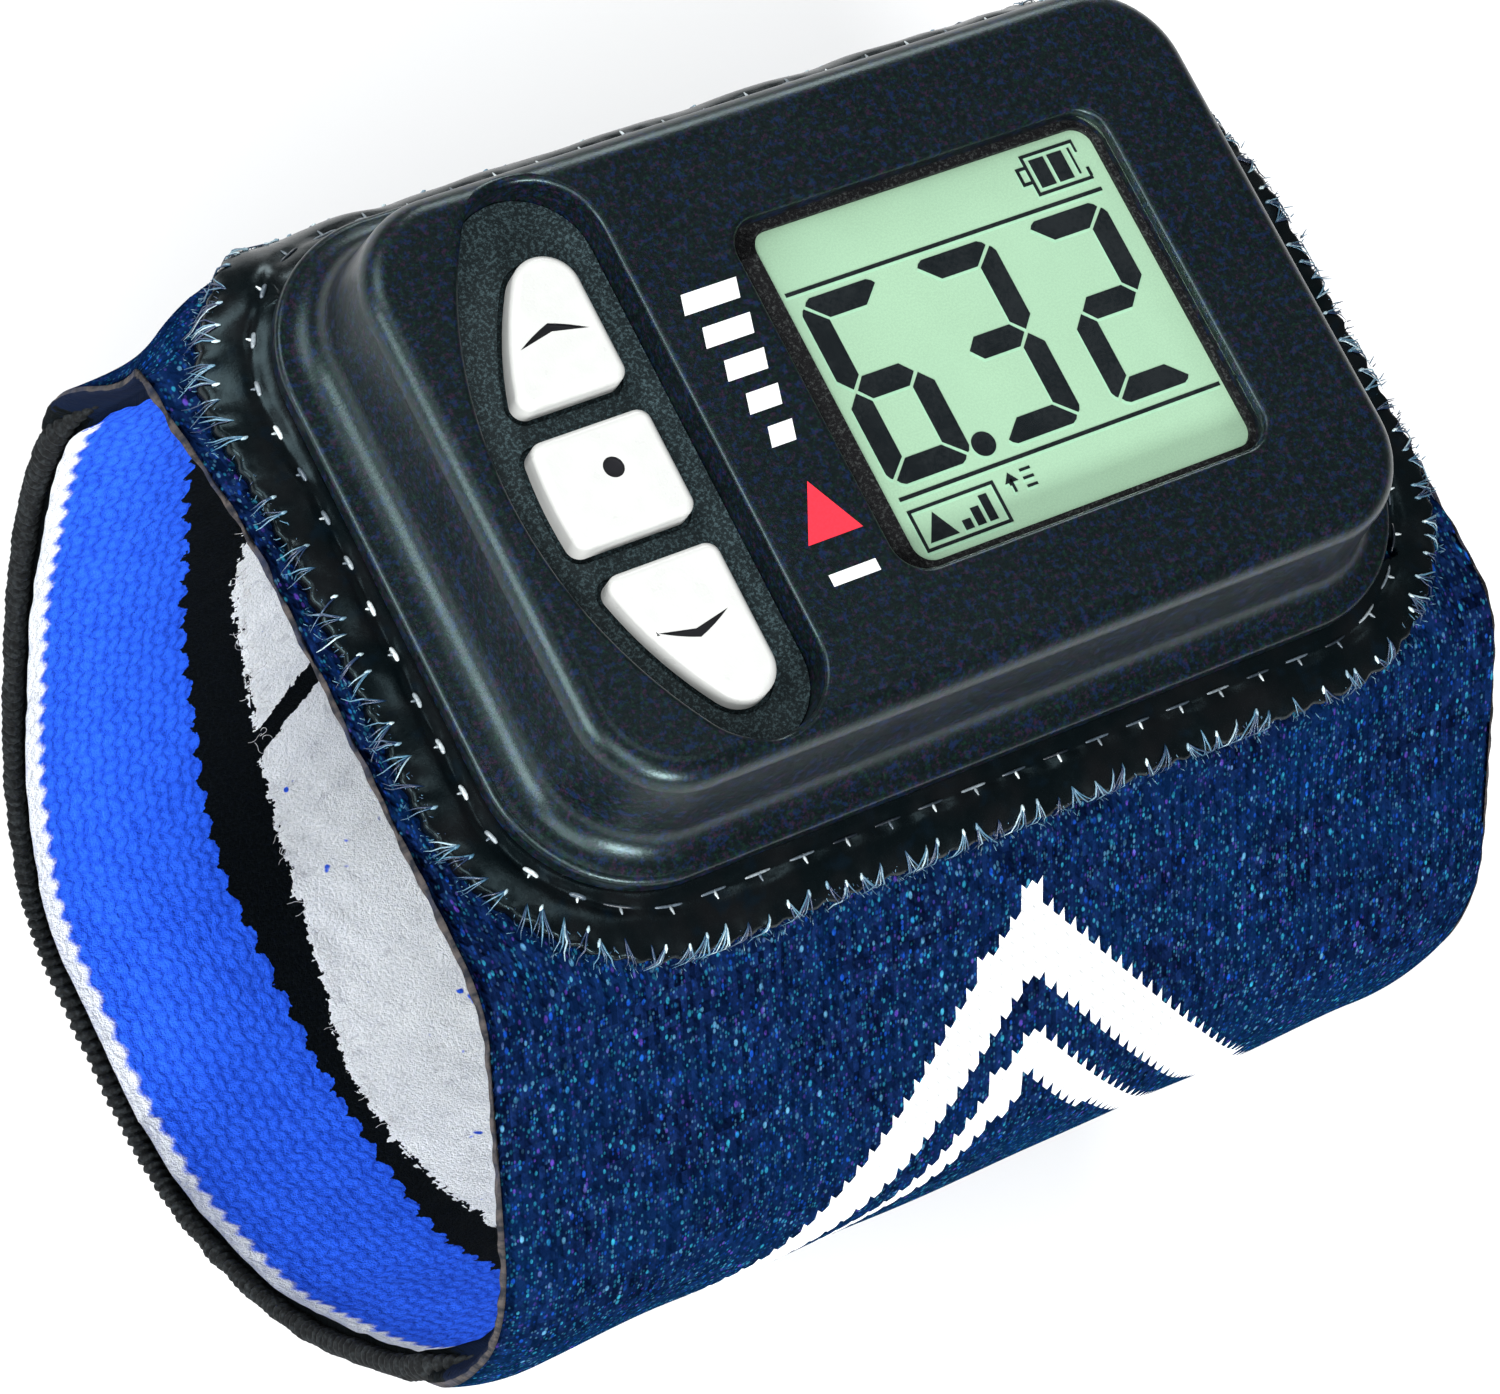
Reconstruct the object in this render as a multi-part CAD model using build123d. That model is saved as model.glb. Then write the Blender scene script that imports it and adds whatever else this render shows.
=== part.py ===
from build123d import *
import math
import os

# Wrist altimeter on a knitted elastic loop, in millimetres.
# +Z points out of the display, +X runs along the forearm from the keys to the
# display, and +Y is the top of the display. The origin is the bottom centre of
# the band's loop, which rests on the surface.

# ---------------------------------------------------------------- heights (Z)
TOP = 70.0                # plateau of the upper housing
KEY_TOP = 69.2
WINDOW_TOP = 69.4
PLATE_UNDER = 68.8        # underside of the top plate, the display's level
TRAY_FLOOR = 67.6         # rubber between the keys
TRAY_SEAT = 66.6          # housing floor under the rubber
TRAY_UNDER = 65.7
BOARD_TOP = 64.0
BOARD_UNDER = 63.0
SKIRT_TOP = 62.3
PARTING = 61.2            # upper and lower housing meet
BAND_TOP = 60.2
TUB_FLOOR = 57.3          # inside of the lower housing
TUB_UNDER = 55.5          # back of the lower housing, against the wrist

# --------------------------------------------------------------- the housing
HOUSING_X = 1.2           # housing centre from the band's centre line
HOUSING_Y = 7.175         # housing centre from the loop's middle
SKIRT = (59.5, 41.0, 8.5)           # width, depth, corner radius
SKIRT_X = -0.75                     # its centre, from the housing centre
PLATEAU = (53.2, 35.6, 5.6)
PLATEAU_X = -0.8
PLATEAU_DRAFT = 5.0
SHOULDER_RADIUS = 1.5
FLARE_RADIUS = 2.1
SKIRT_EDGE_RADIUS = 0.4
TUB = (57.0, 37.0, 6.5)
TUB_RIM = (55.0, 35.0, 5.5)
CAVITY = (50.6, 30.6, 4.5)
TUB_EDGE_RADIUS = 1.2
RIM_EDGE_RADIUS = 0.35
FIT_GAP = 0.05

# --------------------------------------------------------------- the display
WINDOW_X, WINDOW_Y = 6.05, -0.3     # window recess, from the housing centre
WINDOW = (24.9, 22.1, 2.0)
SCREEN_X = 6.7                      # visible screen, from the housing centre
SCREEN = (22.8, 20.95, 1.2)
MASK_BORDER = 0.75
MASK_THICK = 0.35
FRONT_GLASS = (25.0, 24.2)
REAR_GLASS = (25.0, 21.6)
REFLECTOR = (24.6, 21.4)
GLASS_THICK = 0.45
REFLECTOR_THICK = 0.2
BACKLIGHT_THICK = 0.8
HOLDER = (26.6, 26.6)
HOLDER_POCKET = (25.3, 21.8)
HOLDER_THROAT = (22.0, 18.0)
CONNECTOR = (22.0, 1.2)
CONNECTOR_Y = 11.5
CONNECTOR_ROOM = (0.3, 0.2)         # its slot is longer and wider by this
LAMP = (1.6, 3.0)
LAMP_X = 9.6                        # from the screen's centre
LAMP_GAP = 0.1
LAYER_GAP = 0.02
REAR_GLASS_GAP = 0.05               # the liquid crystal and its edge seal

# ------------------------------------------------------------------ the keys
RECESS_RIGHT, RECESS_LEFT = -13.0, -25.3   # key recess, from the housing centre
RECESS_TIP_Y, RECESS_TIP_RADIUS = 16.9, 4.2
RECESS_WALL = 1.1
KEYS_RIGHT, KEYS_LEFT = -15.2, -22.8       # outline that the three keys share
KEYS_TIP_Y, KEYS_TIP_RADIUS = 13.6, 2.0
KEYS_Y = -0.8
KEY_SPLITS = {"up": (4.6, 13.5), "select": (-3.65, 2.85), "down": (-15.0, -5.4)}
KEY_CORNER = 0.8
KEY_EDGE = 0.5
KEY_BOTTOM = 67.55
KEY_WELL_GAP = 0.3
KEY_WELL_FLOOR = 67.1
STEM_AT = {"up": (-18.3, 8.2), "select": (-18.9, -0.4), "down": (-18.4, -9.2)}
STEM_RADIUS = 1.3
STEM_LIP_GAP = 0.05
STEM_HOLE_RADIUS = 1.5
STEM_BOTTOM = 64.52
DOME_RADIUS = 2.75
DOME_HEIGHT = 0.5
DOME_THICK = 0.12
MARK_DEPTH = 0.2
CHEVRON_HALF = 2.2
CHEVRON_RISE = 1.0
CHEVRON_WIDTH = 0.34
CHEVRON_AT = {"up": (-18.3, 7.9, 1), "down": (-18.7, -9.3, -1)}
DOT_AT = (-18.7, 0.1)
DOT_RADIUS = 0.62

# ------------------------------------------------------ screws, board, sensor
PILLAR_AT = [(x, y) for x in (-22.6, 22.6) for y in (-12.7, 12.7)]
PILLAR_RADIUS = 2.3
SCREW_RADIUS = 0.8
SCREW_TOP = 65.0
SCREW_HEAD = (1.7, 1.2)             # radius, height
SCREW_INSET = 0.1                   # head below the back face
SCREW_DRIVE = (0.75, 0.7)           # hexagon socket's radius, depth
SCREW_TIP_ROOM = 0.2
HEAD_POCKET = (1.8, 1.3)
BOARD = (50.2, 30.2, 4.3)
BOARD_NOTCH_RADIUS = 2.8
POST_AT = [(x, y) for x in (-16.5, 16.5) for y in (-12.2, 12.2)]
POST_RADIUS = 1.5
SENSOR_X = 19.5
SENSOR = (5.0, 0.9, 1.9, 1.5)       # base side, base height, can radius, can height
SENSOR_BORE = (0.4, 0.3)            # radius, roof left above it
CHIP = (9.0, 1.2)                   # side, height
CHIP_LIFT = 0.1
CHIP_LEADS = 10                     # on each side
LEAD = (0.35, 0.3)                  # width, height
LEAD_REACH = 1.0
CRYSTAL = (-17.5, 6.0, 0.95, 3.0)   # x, y, radius, half length
RESISTOR = (1.6, 0.8, 0.5)          # length, width, height
CAPACITOR = (1.0, 1.4, 0.8)
REGULATOR = (3.5, 2.8, 1.9)
RESISTOR_X, CAPACITOR_X = -20.8, 14.2
REGULATOR_AT = (20.5, 8.0)
ROW_START, ROW_PITCH, ROW_COUNT = -9.0, 2.4, 6
PORT_RADIUS = 0.6
PORT_MEMBRANE = (2.0, 0.25)         # radius, thickness

# --------------------------------------------------------------- the battery
CELL_RADIUS, CELL_HEIGHT = 10.0, 3.2
CELL_BOTTOM = 58.0
CAP_RADIUS = 12.1
CAP_SEAT = 56.5                     # ledge that the cap's rim closes against
CAP_POCKET_RADIUS = 12.2
PLUG_RADIUS, PLUG_TOP = 10.8, 57.95
CAP_HOLE_RADIUS = 10.9
LUG_RADIUS, LUG_ANGLE = 11.8, 22.0
LUG_BOTTOM = 57.4
NOTCH_RADIUS, NOTCH_ANGLE = 12.0, 27.0
CAP_TURN = 60.0
CAP_EDGE = 0.25
LUG_ROOT = 0.5                      # how far a lug runs into the plug
O_RING_TUBE = 0.3
O_RING_GAP = 0.02
O_RING_Z = 56.95
COIN_SLOT = (14.0, 1.8, 0.6)        # length, width, depth
GUIDE_RADII = (10.3, 11.7)
GUIDE_TOP = 60.6
CELL_EDGE = 0.3
CELL_STEP = (1.2, 0.3)              # crimped rim's width, height
CONTACT_THICK, CONTACT_WIDTH = 0.2, 3.0
CONTACT_GAP = 0.02
GUIDE_ANGLES = [(100.0, 150.0), (280.0, 330.0)]

# ------------------------------------------------------- the seal at the rim
SEAL_INSET = 0.6                    # groove's outer wall from the rim's edge
SEAL_GROOVE = (1.0, 0.75)           # width, depth
SEAL = (0.9, 0.72)

# ----------------------------------------------------------- band and flange
BAND_WIDTH = 69.4
BAND_THICK = 2.2
BAND_CUT_GAP = 0.35
# Corners of the loop's section, Y from the housing centre and Z, each rounded.
LOOP_CORNERS = [
    (22.0, 60.2, 4.5),
    (22.0, 30.0, 70.0),
    (14.5, 9.0, 35.0),
    (6.0, 0.0, 10.5),
    (-13.5, 0.0, 19.5),
    (-27.0, 10.0, 39.0),
    (-37.3, 31.0, 25.0),
    (-37.3, 43.2, 15.5),
    (-22.6, 60.2, 6.0),
]
FLANGE_GAP = 0.05
FLANGE_THICK = 0.9
FLANGE_X = (-34.0, 32.6)            # from the housing centre
FLANGE_Y = (-24.0, 24.5)
FLANGE_CORNER = 12.5
FLANGE_LOWEST = 56.8


# ------------------------------------------------------------ small builders
def at(x, y, z):
    """A place given from the housing centre."""
    return Location((HOUSING_X + x, HOUSING_Y + y, z))


def slab(size, low, high, x=0.0, y=0.0):
    """A rounded or square plate between two heights."""
    if len(size) == 3:
        outline = RectangleRounded(size[0], size[1], size[2])
    else:
        outline = Rectangle(size[0], size[1])
    return extrude(at(x, y, low) * outline, high - low)


def rod(radius, low, high, x=0.0, y=0.0):
    return extrude(at(x, y, low) * Circle(radius), high - low)


def grown(size, by):
    """The same rounded outline, moved outwards by a distance."""
    return (size[0] + 2 * by, size[1] + 2 * by, size[2] + by)


def prism(face, low, high):
    """A face drawn about the housing centre, raised between two heights."""
    return extrude(at(0, 0, low) * face, high - low)


def sector(inner, outer, middle, spread, low, high):
    """Part of a ring about the housing centre, spread degrees wide."""
    ring = Circle(outer) - Circle(inner) if inner > 0 else Circle(outer)
    half = math.radians(spread / 2)
    reach = outer * 2
    wedge = make_face(Polyline(
        (0, 0),
        (reach * math.cos(half), -reach * math.sin(half)),
        (reach * math.cos(half), reach * math.sin(half)),
        close=True,
    ))
    return prism(Rot(0, 0, middle) * (ring & wedge), low, high)


def bow(right, left, tip_y, tip_radius):
    """A D whose left side is one long arc, tangent to two rounded tips."""
    tip_x = right - tip_radius
    tip_centre = tip_y - tip_radius
    side = tip_x - left
    radius = (side * side + tip_centre ** 2 - tip_radius ** 2) / (2 * (side - tip_radius))
    centre = left + radius
    reach = math.hypot(centre - tip_x, tip_centre)
    out_x, out_y = (tip_x - centre) / reach, tip_centre / reach
    top = (centre + radius * out_x, radius * out_y)
    bottom = (top[0], -top[1])
    middle_angle = math.atan2(out_y, out_x) / 2
    crown = (
        tip_x + tip_radius * math.cos(middle_angle),
        tip_centre + tip_radius * math.sin(middle_angle),
    )
    edges = [
        Line((right, -tip_centre), (right, tip_centre)),
        ThreePointArc((right, tip_centre), crown, top),
        ThreePointArc(top, (left, 0), bottom),
        ThreePointArc(bottom, (crown[0], -crown[1]), (right, -tip_centre)),
    ]
    return make_face(edges)


def ring_of(size, inset, width, low, high):
    """A closed rib that follows a rounded outline, inset from it."""
    outer = slab(grown(size, -inset), low, high)
    return outer - slab(grown(size, -inset - width), low, high)


def each(places, make):
    """One solid at each place, as a group."""
    return [make(x, y) for x, y in places]


def save(name, shape):
    if isinstance(shape, list):
        solids = [solid for item in shape for solid in item.solids()]
        shape = Compound(children=solids) if len(solids) > 1 else solids[0]
    export_step(shape, f"parts/{name}.step")


# ---------------------------------------------------------------- the outlines
RECESS_FACE = bow(RECESS_RIGHT, RECESS_LEFT, RECESS_TIP_Y, RECESS_TIP_RADIUS)
KEYS_FACE = Pos(0, KEYS_Y) * bow(KEYS_RIGHT, KEYS_LEFT, KEYS_TIP_Y, KEYS_TIP_RADIUS)


def key_face(name):
    """One key's outline: its share of the bowed outline, corners rounded."""
    low, high = KEY_SPLITS[name]
    middle = Pos((KEYS_LEFT + KEYS_RIGHT) / 2, (low + high) / 2)
    face = KEYS_FACE & middle * Rectangle(4 * (KEYS_RIGHT - KEYS_LEFT), high - low)
    return fillet(
        [v for v in face.vertices() if min(abs(v.Y - low), abs(v.Y - high)) < 1e-4],
        KEY_CORNER,
    )


def loop_face():
    """The outside of the band's loop, drawn in the YZ plane."""
    points = [(HOUSING_Y + y, z) for y, z, _ in LOOP_CORNERS]
    radii = [radius for _, _, radius in LOOP_CORNERS]
    return Plane.YZ * make_face(FilletPolyline(*points, radius=radii, close=True))


def loop_prism(grow, width):
    """The loop's section, grown or shrunk, as a bar along X."""
    face = loop_face()
    if grow:
        face = offset(face, amount=grow, kind=Kind.ARC)
    return extrude(face, width / 2, both=True)


# ----------------------------------------------------------------- the housing
def upper_housing():
    body = slab(SKIRT, PARTING, SKIRT_TOP, SKIRT_X)
    rise = TOP - SKIRT_TOP
    foot = grown(PLATEAU, rise * math.tan(math.radians(PLATEAU_DRAFT)))
    plateau = at(PLATEAU_X, 0, SKIRT_TOP) * RectangleRounded(*foot)
    body += extrude(plateau, rise, taper=PLATEAU_DRAFT)
    body = fillet(body.faces().sort_by(Axis.Z)[-1].edges(), SHOULDER_RADIUS)
    step = body.edges().filter_by(lambda e: abs(e.center().Z - SKIRT_TOP) < 1e-3)
    centre = Vector(HOUSING_X + PLATEAU_X, HOUSING_Y, SKIRT_TOP)
    inner = [e for e in step if on_outline(e.center() - centre, foot)]
    body = fillet(inner, FLARE_RADIUS)
    centre = Vector(HOUSING_X + SKIRT_X, HOUSING_Y, SKIRT_TOP)
    outer = [
        e for e in body.edges()
        if abs(e.center().Z - SKIRT_TOP) < 1e-3 and on_outline(e.center() - centre, SKIRT)
    ]
    body = fillet(outer, SKIRT_EDGE_RADIUS)

    cavity = slab(CAVITY, PARTING, PLATE_UNDER)
    cavity -= prism(offset(RECESS_FACE, RECESS_WALL), TRAY_UNDER, PLATE_UNDER)
    for x, y in PILLAR_AT:
        cavity -= rod(PILLAR_RADIUS, PARTING, PLATE_UNDER, x, y)
    body -= cavity
    body -= slab(WINDOW, PLATE_UNDER, TOP, WINDOW_X, WINDOW_Y)
    body -= prism(RECESS_FACE, TRAY_SEAT, TOP)
    rims = [
        e for e in body.edges()
        if abs(e.center().Z - TOP) < 1e-3 and e.length < 60 and inside_plateau(e)
    ]
    body = fillet(rims, RIM_EDGE_RADIUS)
    for x, y in STEM_AT.values():
        body -= rod(STEM_HOLE_RADIUS, TRAY_UNDER, TRAY_SEAT, x, y)
    for x, y in PILLAR_AT:
        body -= rod(SCREW_RADIUS + FIT_GAP, PARTING, SCREW_TOP + SCREW_TIP_ROOM, x, y)
    return body


def on_outline(point, size):
    """Whether a point of an outline's side or corner lies on that outline."""
    half_x, half_y, radius = size[0] / 2, size[1] / 2, size[2]
    past_x, past_y = abs(point.X) - (half_x - radius), abs(point.Y) - (half_y - radius)
    if past_x > 0 and past_y > 0:
        return abs(math.hypot(past_x, past_y) - radius) < 0.15
    return abs(abs(point.X) - half_x) < 0.15 or abs(abs(point.Y) - half_y) < 0.15


def inside_plateau(edge):
    """Whether an edge bounds the window or the key recess, not the shoulder."""
    place = edge.center() - Vector(HOUSING_X + PLATEAU_X, HOUSING_Y, 0)
    half_x = PLATEAU[0] / 2 - SHOULDER_RADIUS - 0.2
    half_y = PLATEAU[1] / 2 - SHOULDER_RADIUS + 1.0
    return abs(place.X) < half_x and abs(place.Y) < half_y and not edge_is_shoulder(place)


def edge_is_shoulder(place):
    long_side = abs(place.X) < 3 and abs(place.Y) > PLATEAU[1] / 2 - 3
    return long_side or abs(place.X) > PLATEAU[0] / 2 - 2


def lower_housing():
    body = slab(TUB, TUB_UNDER, BAND_TOP)
    body = fillet(body.faces().sort_by(Axis.Z)[0].edges(), TUB_EDGE_RADIUS)
    body += slab(TUB_RIM, BAND_TOP, PARTING)
    body -= slab(CAVITY, TUB_FLOOR, PARTING)
    groove_floor = PARTING - SEAL_GROOVE[1]
    body -= ring_of(TUB_RIM, SEAL_INSET, SEAL_GROOVE[0], groove_floor, PARTING)
    for x, y in PILLAR_AT:
        body += rod(PILLAR_RADIUS, TUB_FLOOR, PARTING, x, y) & slab(
            grown(TUB_RIM, -SEAL_INSET - SEAL_GROOVE[0]), TUB_FLOOR, PARTING)
        body -= rod(SCREW_RADIUS + FIT_GAP, TUB_UNDER, PARTING, x, y)
        body -= rod(HEAD_POCKET[0], TUB_UNDER, TUB_UNDER + HEAD_POCKET[1], x, y)
    for x, y in POST_AT:
        body += rod(POST_RADIUS, TUB_FLOOR, BOARD_UNDER, x, y)
    for start, end in GUIDE_ANGLES:
        body += sector(*GUIDE_RADII, (start + end) / 2, end - start, TUB_FLOOR, GUIDE_TOP)
    body -= rod(CAP_POCKET_RADIUS, TUB_UNDER, CAP_SEAT)
    body -= rod(CAP_HOLE_RADIUS, CAP_SEAT, CELL_BOTTOM)
    for turn in (0, 180):
        body -= sector(0, NOTCH_RADIUS, CAP_TURN + turn, NOTCH_ANGLE, CAP_SEAT, TUB_FLOOR)
    body -= rod(PORT_RADIUS, TUB_UNDER, TUB_FLOOR, SENSOR_X)
    return body


def housing_gasket():
    inset = SEAL_INSET + (SEAL_GROOVE[0] - SEAL[0]) / 2
    low = PARTING - SEAL_GROOVE[1]
    return ring_of(TUB_RIM, inset, SEAL[0], low, low + SEAL[1])


def case_screw(x, y):
    low = TUB_UNDER + SCREW_INSET
    radius, height = SCREW_HEAD
    socket, depth = SCREW_DRIVE
    body = rod(radius, low, low + height, x, y) + rod(SCREW_RADIUS, low, SCREW_TOP, x, y)
    return body - extrude(at(x, y, low) * RegularPolygon(socket, 6), depth)


# ----------------------------------------------------------------- the display
def display_window():
    return slab(grown(WINDOW, -FIT_GAP), PLATE_UNDER, WINDOW_TOP, WINDOW_X, WINDOW_Y)


def window_mask():
    low = PLATE_UNDER - MASK_THICK
    ring = slab(grown(WINDOW, MASK_BORDER), low, PLATE_UNDER, WINDOW_X, WINDOW_Y)
    return ring - slab(SCREEN, low, PLATE_UNDER, SCREEN_X, WINDOW_Y)


def display_layers():
    """Each flat layer of the display under the mask, from the top down."""
    layers = [
        ("lcd_front_glass", FRONT_GLASS, GLASS_THICK, LAYER_GAP),
        ("lcd_rear_glass", REAR_GLASS, GLASS_THICK, REAR_GLASS_GAP),
        ("lcd_reflector", REFLECTOR, REFLECTOR_THICK, LAYER_GAP),
        ("backlight_panel", REFLECTOR, BACKLIGHT_THICK, LAYER_GAP),
    ]
    made = {}
    top = PLATE_UNDER - MASK_THICK
    for name, size, thick, gap in layers:
        top -= gap
        made[name] = slab(size, top - thick, top, SCREEN_X, WINDOW_Y)
        top -= thick
    return made, top


def lcd_holder(shelf):
    """Frame between the board and the glass; its shelf carries the backlight."""
    glass_under = PLATE_UNDER - MASK_THICK - LAYER_GAP - GLASS_THICK
    body = slab(HOLDER, BOARD_TOP, glass_under - LAYER_GAP, SCREEN_X, WINDOW_Y)
    body -= slab(HOLDER_POCKET, shelf, glass_under, SCREEN_X, WINDOW_Y)
    body -= slab(HOLDER_THROAT, BOARD_TOP, shelf, SCREEN_X, WINDOW_Y)
    slot = (CONNECTOR[0] + CONNECTOR_ROOM[0], CONNECTOR[1] + CONNECTOR_ROOM[1])
    for side in (-1, 1):
        y = WINDOW_Y + side * CONNECTOR_Y
        body -= slab(slot, BOARD_TOP, glass_under, SCREEN_X, y)
    return body


def zebra_connectors():
    glass_under = PLATE_UNDER - MASK_THICK - LAYER_GAP - GLASS_THICK
    return [
        slab(CONNECTOR, BOARD_TOP, glass_under, SCREEN_X, WINDOW_Y + side * CONNECTOR_Y)
        for side in (-1, 1)
    ]


def backlight_leds(shelf):
    """Two side-view lamps on the board, under the backlight panel's ends."""
    return [
        slab(LAMP, BOARD_TOP, shelf - LAMP_GAP, SCREEN_X + side * LAMP_X, WINDOW_Y)
        for side in (-1, 1)
    ]


# -------------------------------------------------------------------- the keys
def chevron(x, y, way):
    """A thin bent stroke, thickest in the middle and pointed at its ends."""
    peak = CHEVRON_RISE * way
    thick = CHEVRON_WIDTH * way
    upper_half = (CHEVRON_HALF * 0.45, peak * 0.62)
    points_out = Spline((-CHEVRON_HALF, 0), (-upper_half[0], upper_half[1]), (0, peak))
    points_back = Spline((0, peak), upper_half, (CHEVRON_HALF, 0))
    under = Polyline((CHEVRON_HALF, 0), (0, peak - thick * 1.6), (-CHEVRON_HALF, 0))
    return Pos(x, y) * make_face([points_out, points_back, under])


def button(name):
    body = prism(key_face(name), KEY_BOTTOM, KEY_TOP)
    body = fillet(body.faces().sort_by(Axis.Z)[-1].edges(), KEY_EDGE)
    x, y = STEM_AT[name]
    body += rod(STEM_RADIUS, STEM_BOTTOM, KEY_BOTTOM, x, y)
    if name in CHEVRON_AT:
        mark = chevron(*CHEVRON_AT[name])
    else:
        mark = Pos(*DOT_AT) * Circle(DOT_RADIUS)
    return body - prism(mark, KEY_TOP - MARK_DEPTH, KEY_TOP)


def keypad_membrane():
    """Rubber tray with a well under each key and a lip round each stem."""
    body = prism(offset(RECESS_FACE, -FIT_GAP), TRAY_SEAT, TRAY_FLOOR)
    for name, (x, y) in STEM_AT.items():
        body -= prism(offset(key_face(name), KEY_WELL_GAP), KEY_WELL_FLOOR, TRAY_FLOOR)
        body -= rod(STEM_RADIUS + STEM_LIP_GAP, TRAY_SEAT, TRAY_FLOOR, x, y)
    return body


def switch_dome(name):
    """A snap dome on the board under one stem: a thin spherical cap."""
    x, y = STEM_AT[name]
    ball = (DOME_RADIUS ** 2 + DOME_HEIGHT ** 2) / (2 * DOME_HEIGHT)
    centre = at(x, y, BOARD_TOP + DOME_HEIGHT - ball)
    shell = centre * Sphere(ball) - centre * Sphere(ball - DOME_THICK)
    return shell & rod(DOME_RADIUS + 1, BOARD_TOP, BOARD_TOP + DOME_HEIGHT, x, y)


# ------------------------------------------------------------- the electronics
def main_circuit_board():
    body = slab(BOARD, BOARD_UNDER, BOARD_TOP)
    for x, y in PILLAR_AT:
        body -= rod(BOARD_NOTCH_RADIUS, BOARD_UNDER, BOARD_TOP, x, y)
    return body


def microcontroller():
    side, height = CHIP
    width, thick = LEAD
    body = slab((side, side, 0.4), BOARD_TOP + CHIP_LIFT, BOARD_TOP + height, SCREEN_X, 0)
    under = slab((side - 1, side - 1), BOARD_TOP, BOARD_TOP + thick, SCREEN_X, 0)
    span = side + 2 * LEAD_REACH
    for i in range(CHIP_LEADS):
        along = (i - (CHIP_LEADS - 1) / 2) * side / CHIP_LEADS
        row = slab((span, width), BOARD_TOP, BOARD_TOP + thick, SCREEN_X, along)
        column = slab((width, span), BOARD_TOP, BOARD_TOP + thick, SCREEN_X + along, 0)
        body += row - under
        body += column - under
    return body


def pressure_sensor():
    side, base, can_radius, can = SENSOR
    body = slab((side, side), BOARD_UNDER - base, BOARD_UNDER, SENSOR_X)
    body += rod(can_radius, BOARD_UNDER - base - can, BOARD_UNDER - base, SENSOR_X)
    low = BOARD_UNDER - base - can
    bore, roof = SENSOR_BORE
    return body - rod(bore, low, low + can - roof, SENSOR_X)


def pressure_port_membrane():
    radius, thick = PORT_MEMBRANE
    return rod(radius, TUB_FLOOR, TUB_FLOOR + thick, SENSOR_X)


def quartz_crystal():
    x, y, radius, half = CRYSTAL
    lying = at(x, y, BOARD_UNDER - radius - FIT_GAP) * Rot(90, 0, 0)
    return extrude(lying * Circle(radius), half, both=True)


def board_components():
    """Chip resistors and capacitors under the board, in two rows."""
    parts = [under_board(REGULATOR, *REGULATOR_AT)]
    for i in range(ROW_COUNT):
        y = ROW_START + i * ROW_PITCH
        parts.append(under_board(RESISTOR, RESISTOR_X, y))
        parts.append(under_board(CAPACITOR, CAPACITOR_X, y - CAPACITOR[1] / 2))
    return parts


def under_board(size, x, y):
    return slab(size[:2], BOARD_UNDER - size[2], BOARD_UNDER, x, y)


# ----------------------------------------------------------------- the battery
def coin_cell():
    rim, step = CELL_STEP
    can = rod(CELL_RADIUS, CELL_BOTTOM, CELL_BOTTOM + CELL_HEIGHT - step)
    can = fillet(can.faces().sort_by(Axis.Z)[0].edges(), CELL_EDGE)
    return can + rod(CELL_RADIUS - rim, CELL_BOTTOM, CELL_BOTTOM + CELL_HEIGHT)


def strip(points):
    """A bent metal strip: its side view is drawn in XZ, then widened along Y."""
    face = Plane.XZ * trace(Polyline(*points), CONTACT_THICK)
    leaf = extrude(face, CONTACT_WIDTH / 2, both=True)
    return Pos(HOUSING_X, HOUSING_Y, 0) * leaf


def battery_negative_contact():
    """A leaf soldered under the board that presses on the cell's top."""
    reach = CONTACT_THICK / 2 + CONTACT_GAP
    leaf_end = CELL_BOTTOM + CELL_HEIGHT + reach
    pad = BOARD_UNDER - reach
    return strip([(-6.0, pad), (-3.0, pad), (2.5, leaf_end), (4.5, leaf_end + 0.5)])


def battery_positive_contact():
    """A leaf that hangs from the board beside the cell's rim."""
    reach = CONTACT_THICK / 2 + CONTACT_GAP
    side = -CELL_RADIUS - CONTACT_THICK / 2 - FIT_GAP
    pad = BOARD_UNDER - reach
    return strip([(side - 2.5, pad), (side, pad), (side, CELL_BOTTOM + 0.7)])


def battery_cap():
    body = rod(CAP_RADIUS, TUB_UNDER, CAP_SEAT - FIT_GAP)
    body = fillet(body.faces().sort_by(Axis.Z)[0].edges(), CAP_EDGE)
    body += rod(PLUG_RADIUS, CAP_SEAT - FIT_GAP, PLUG_TOP)
    half = O_RING_TUBE + O_RING_GAP
    groove = rod(CAP_RADIUS, O_RING_Z - half, O_RING_Z + half)
    groove -= rod(o_ring_radius() - half, CAP_SEAT - 1, PLUG_TOP)
    body -= groove
    inner = PLUG_RADIUS - LUG_ROOT
    for turn in (0, 180):
        body += sector(inner, LUG_RADIUS, turn, LUG_ANGLE, LUG_BOTTOM, PLUG_TOP)
    length, width, depth = COIN_SLOT
    slot = extrude(at(0, 0, TUB_UNDER) * SlotOverall(length, width), depth)
    return body - slot


def o_ring_radius():
    """The ring's middle line, so that it just fills the hole."""
    return CAP_HOLE_RADIUS - O_RING_GAP - O_RING_TUBE


def battery_cap_o_ring():
    return at(0, 0, O_RING_Z) * Torus(o_ring_radius(), O_RING_TUBE)


# -------------------------------------------------------------- band and flange
def elastic_band():
    body = loop_prism(0, BAND_WIDTH) - loop_prism(-BAND_THICK, BAND_WIDTH + 2)
    return body - slab(grown(TUB, BAND_CUT_GAP), BAND_TOP - 10, BAND_TOP + 1)


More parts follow.
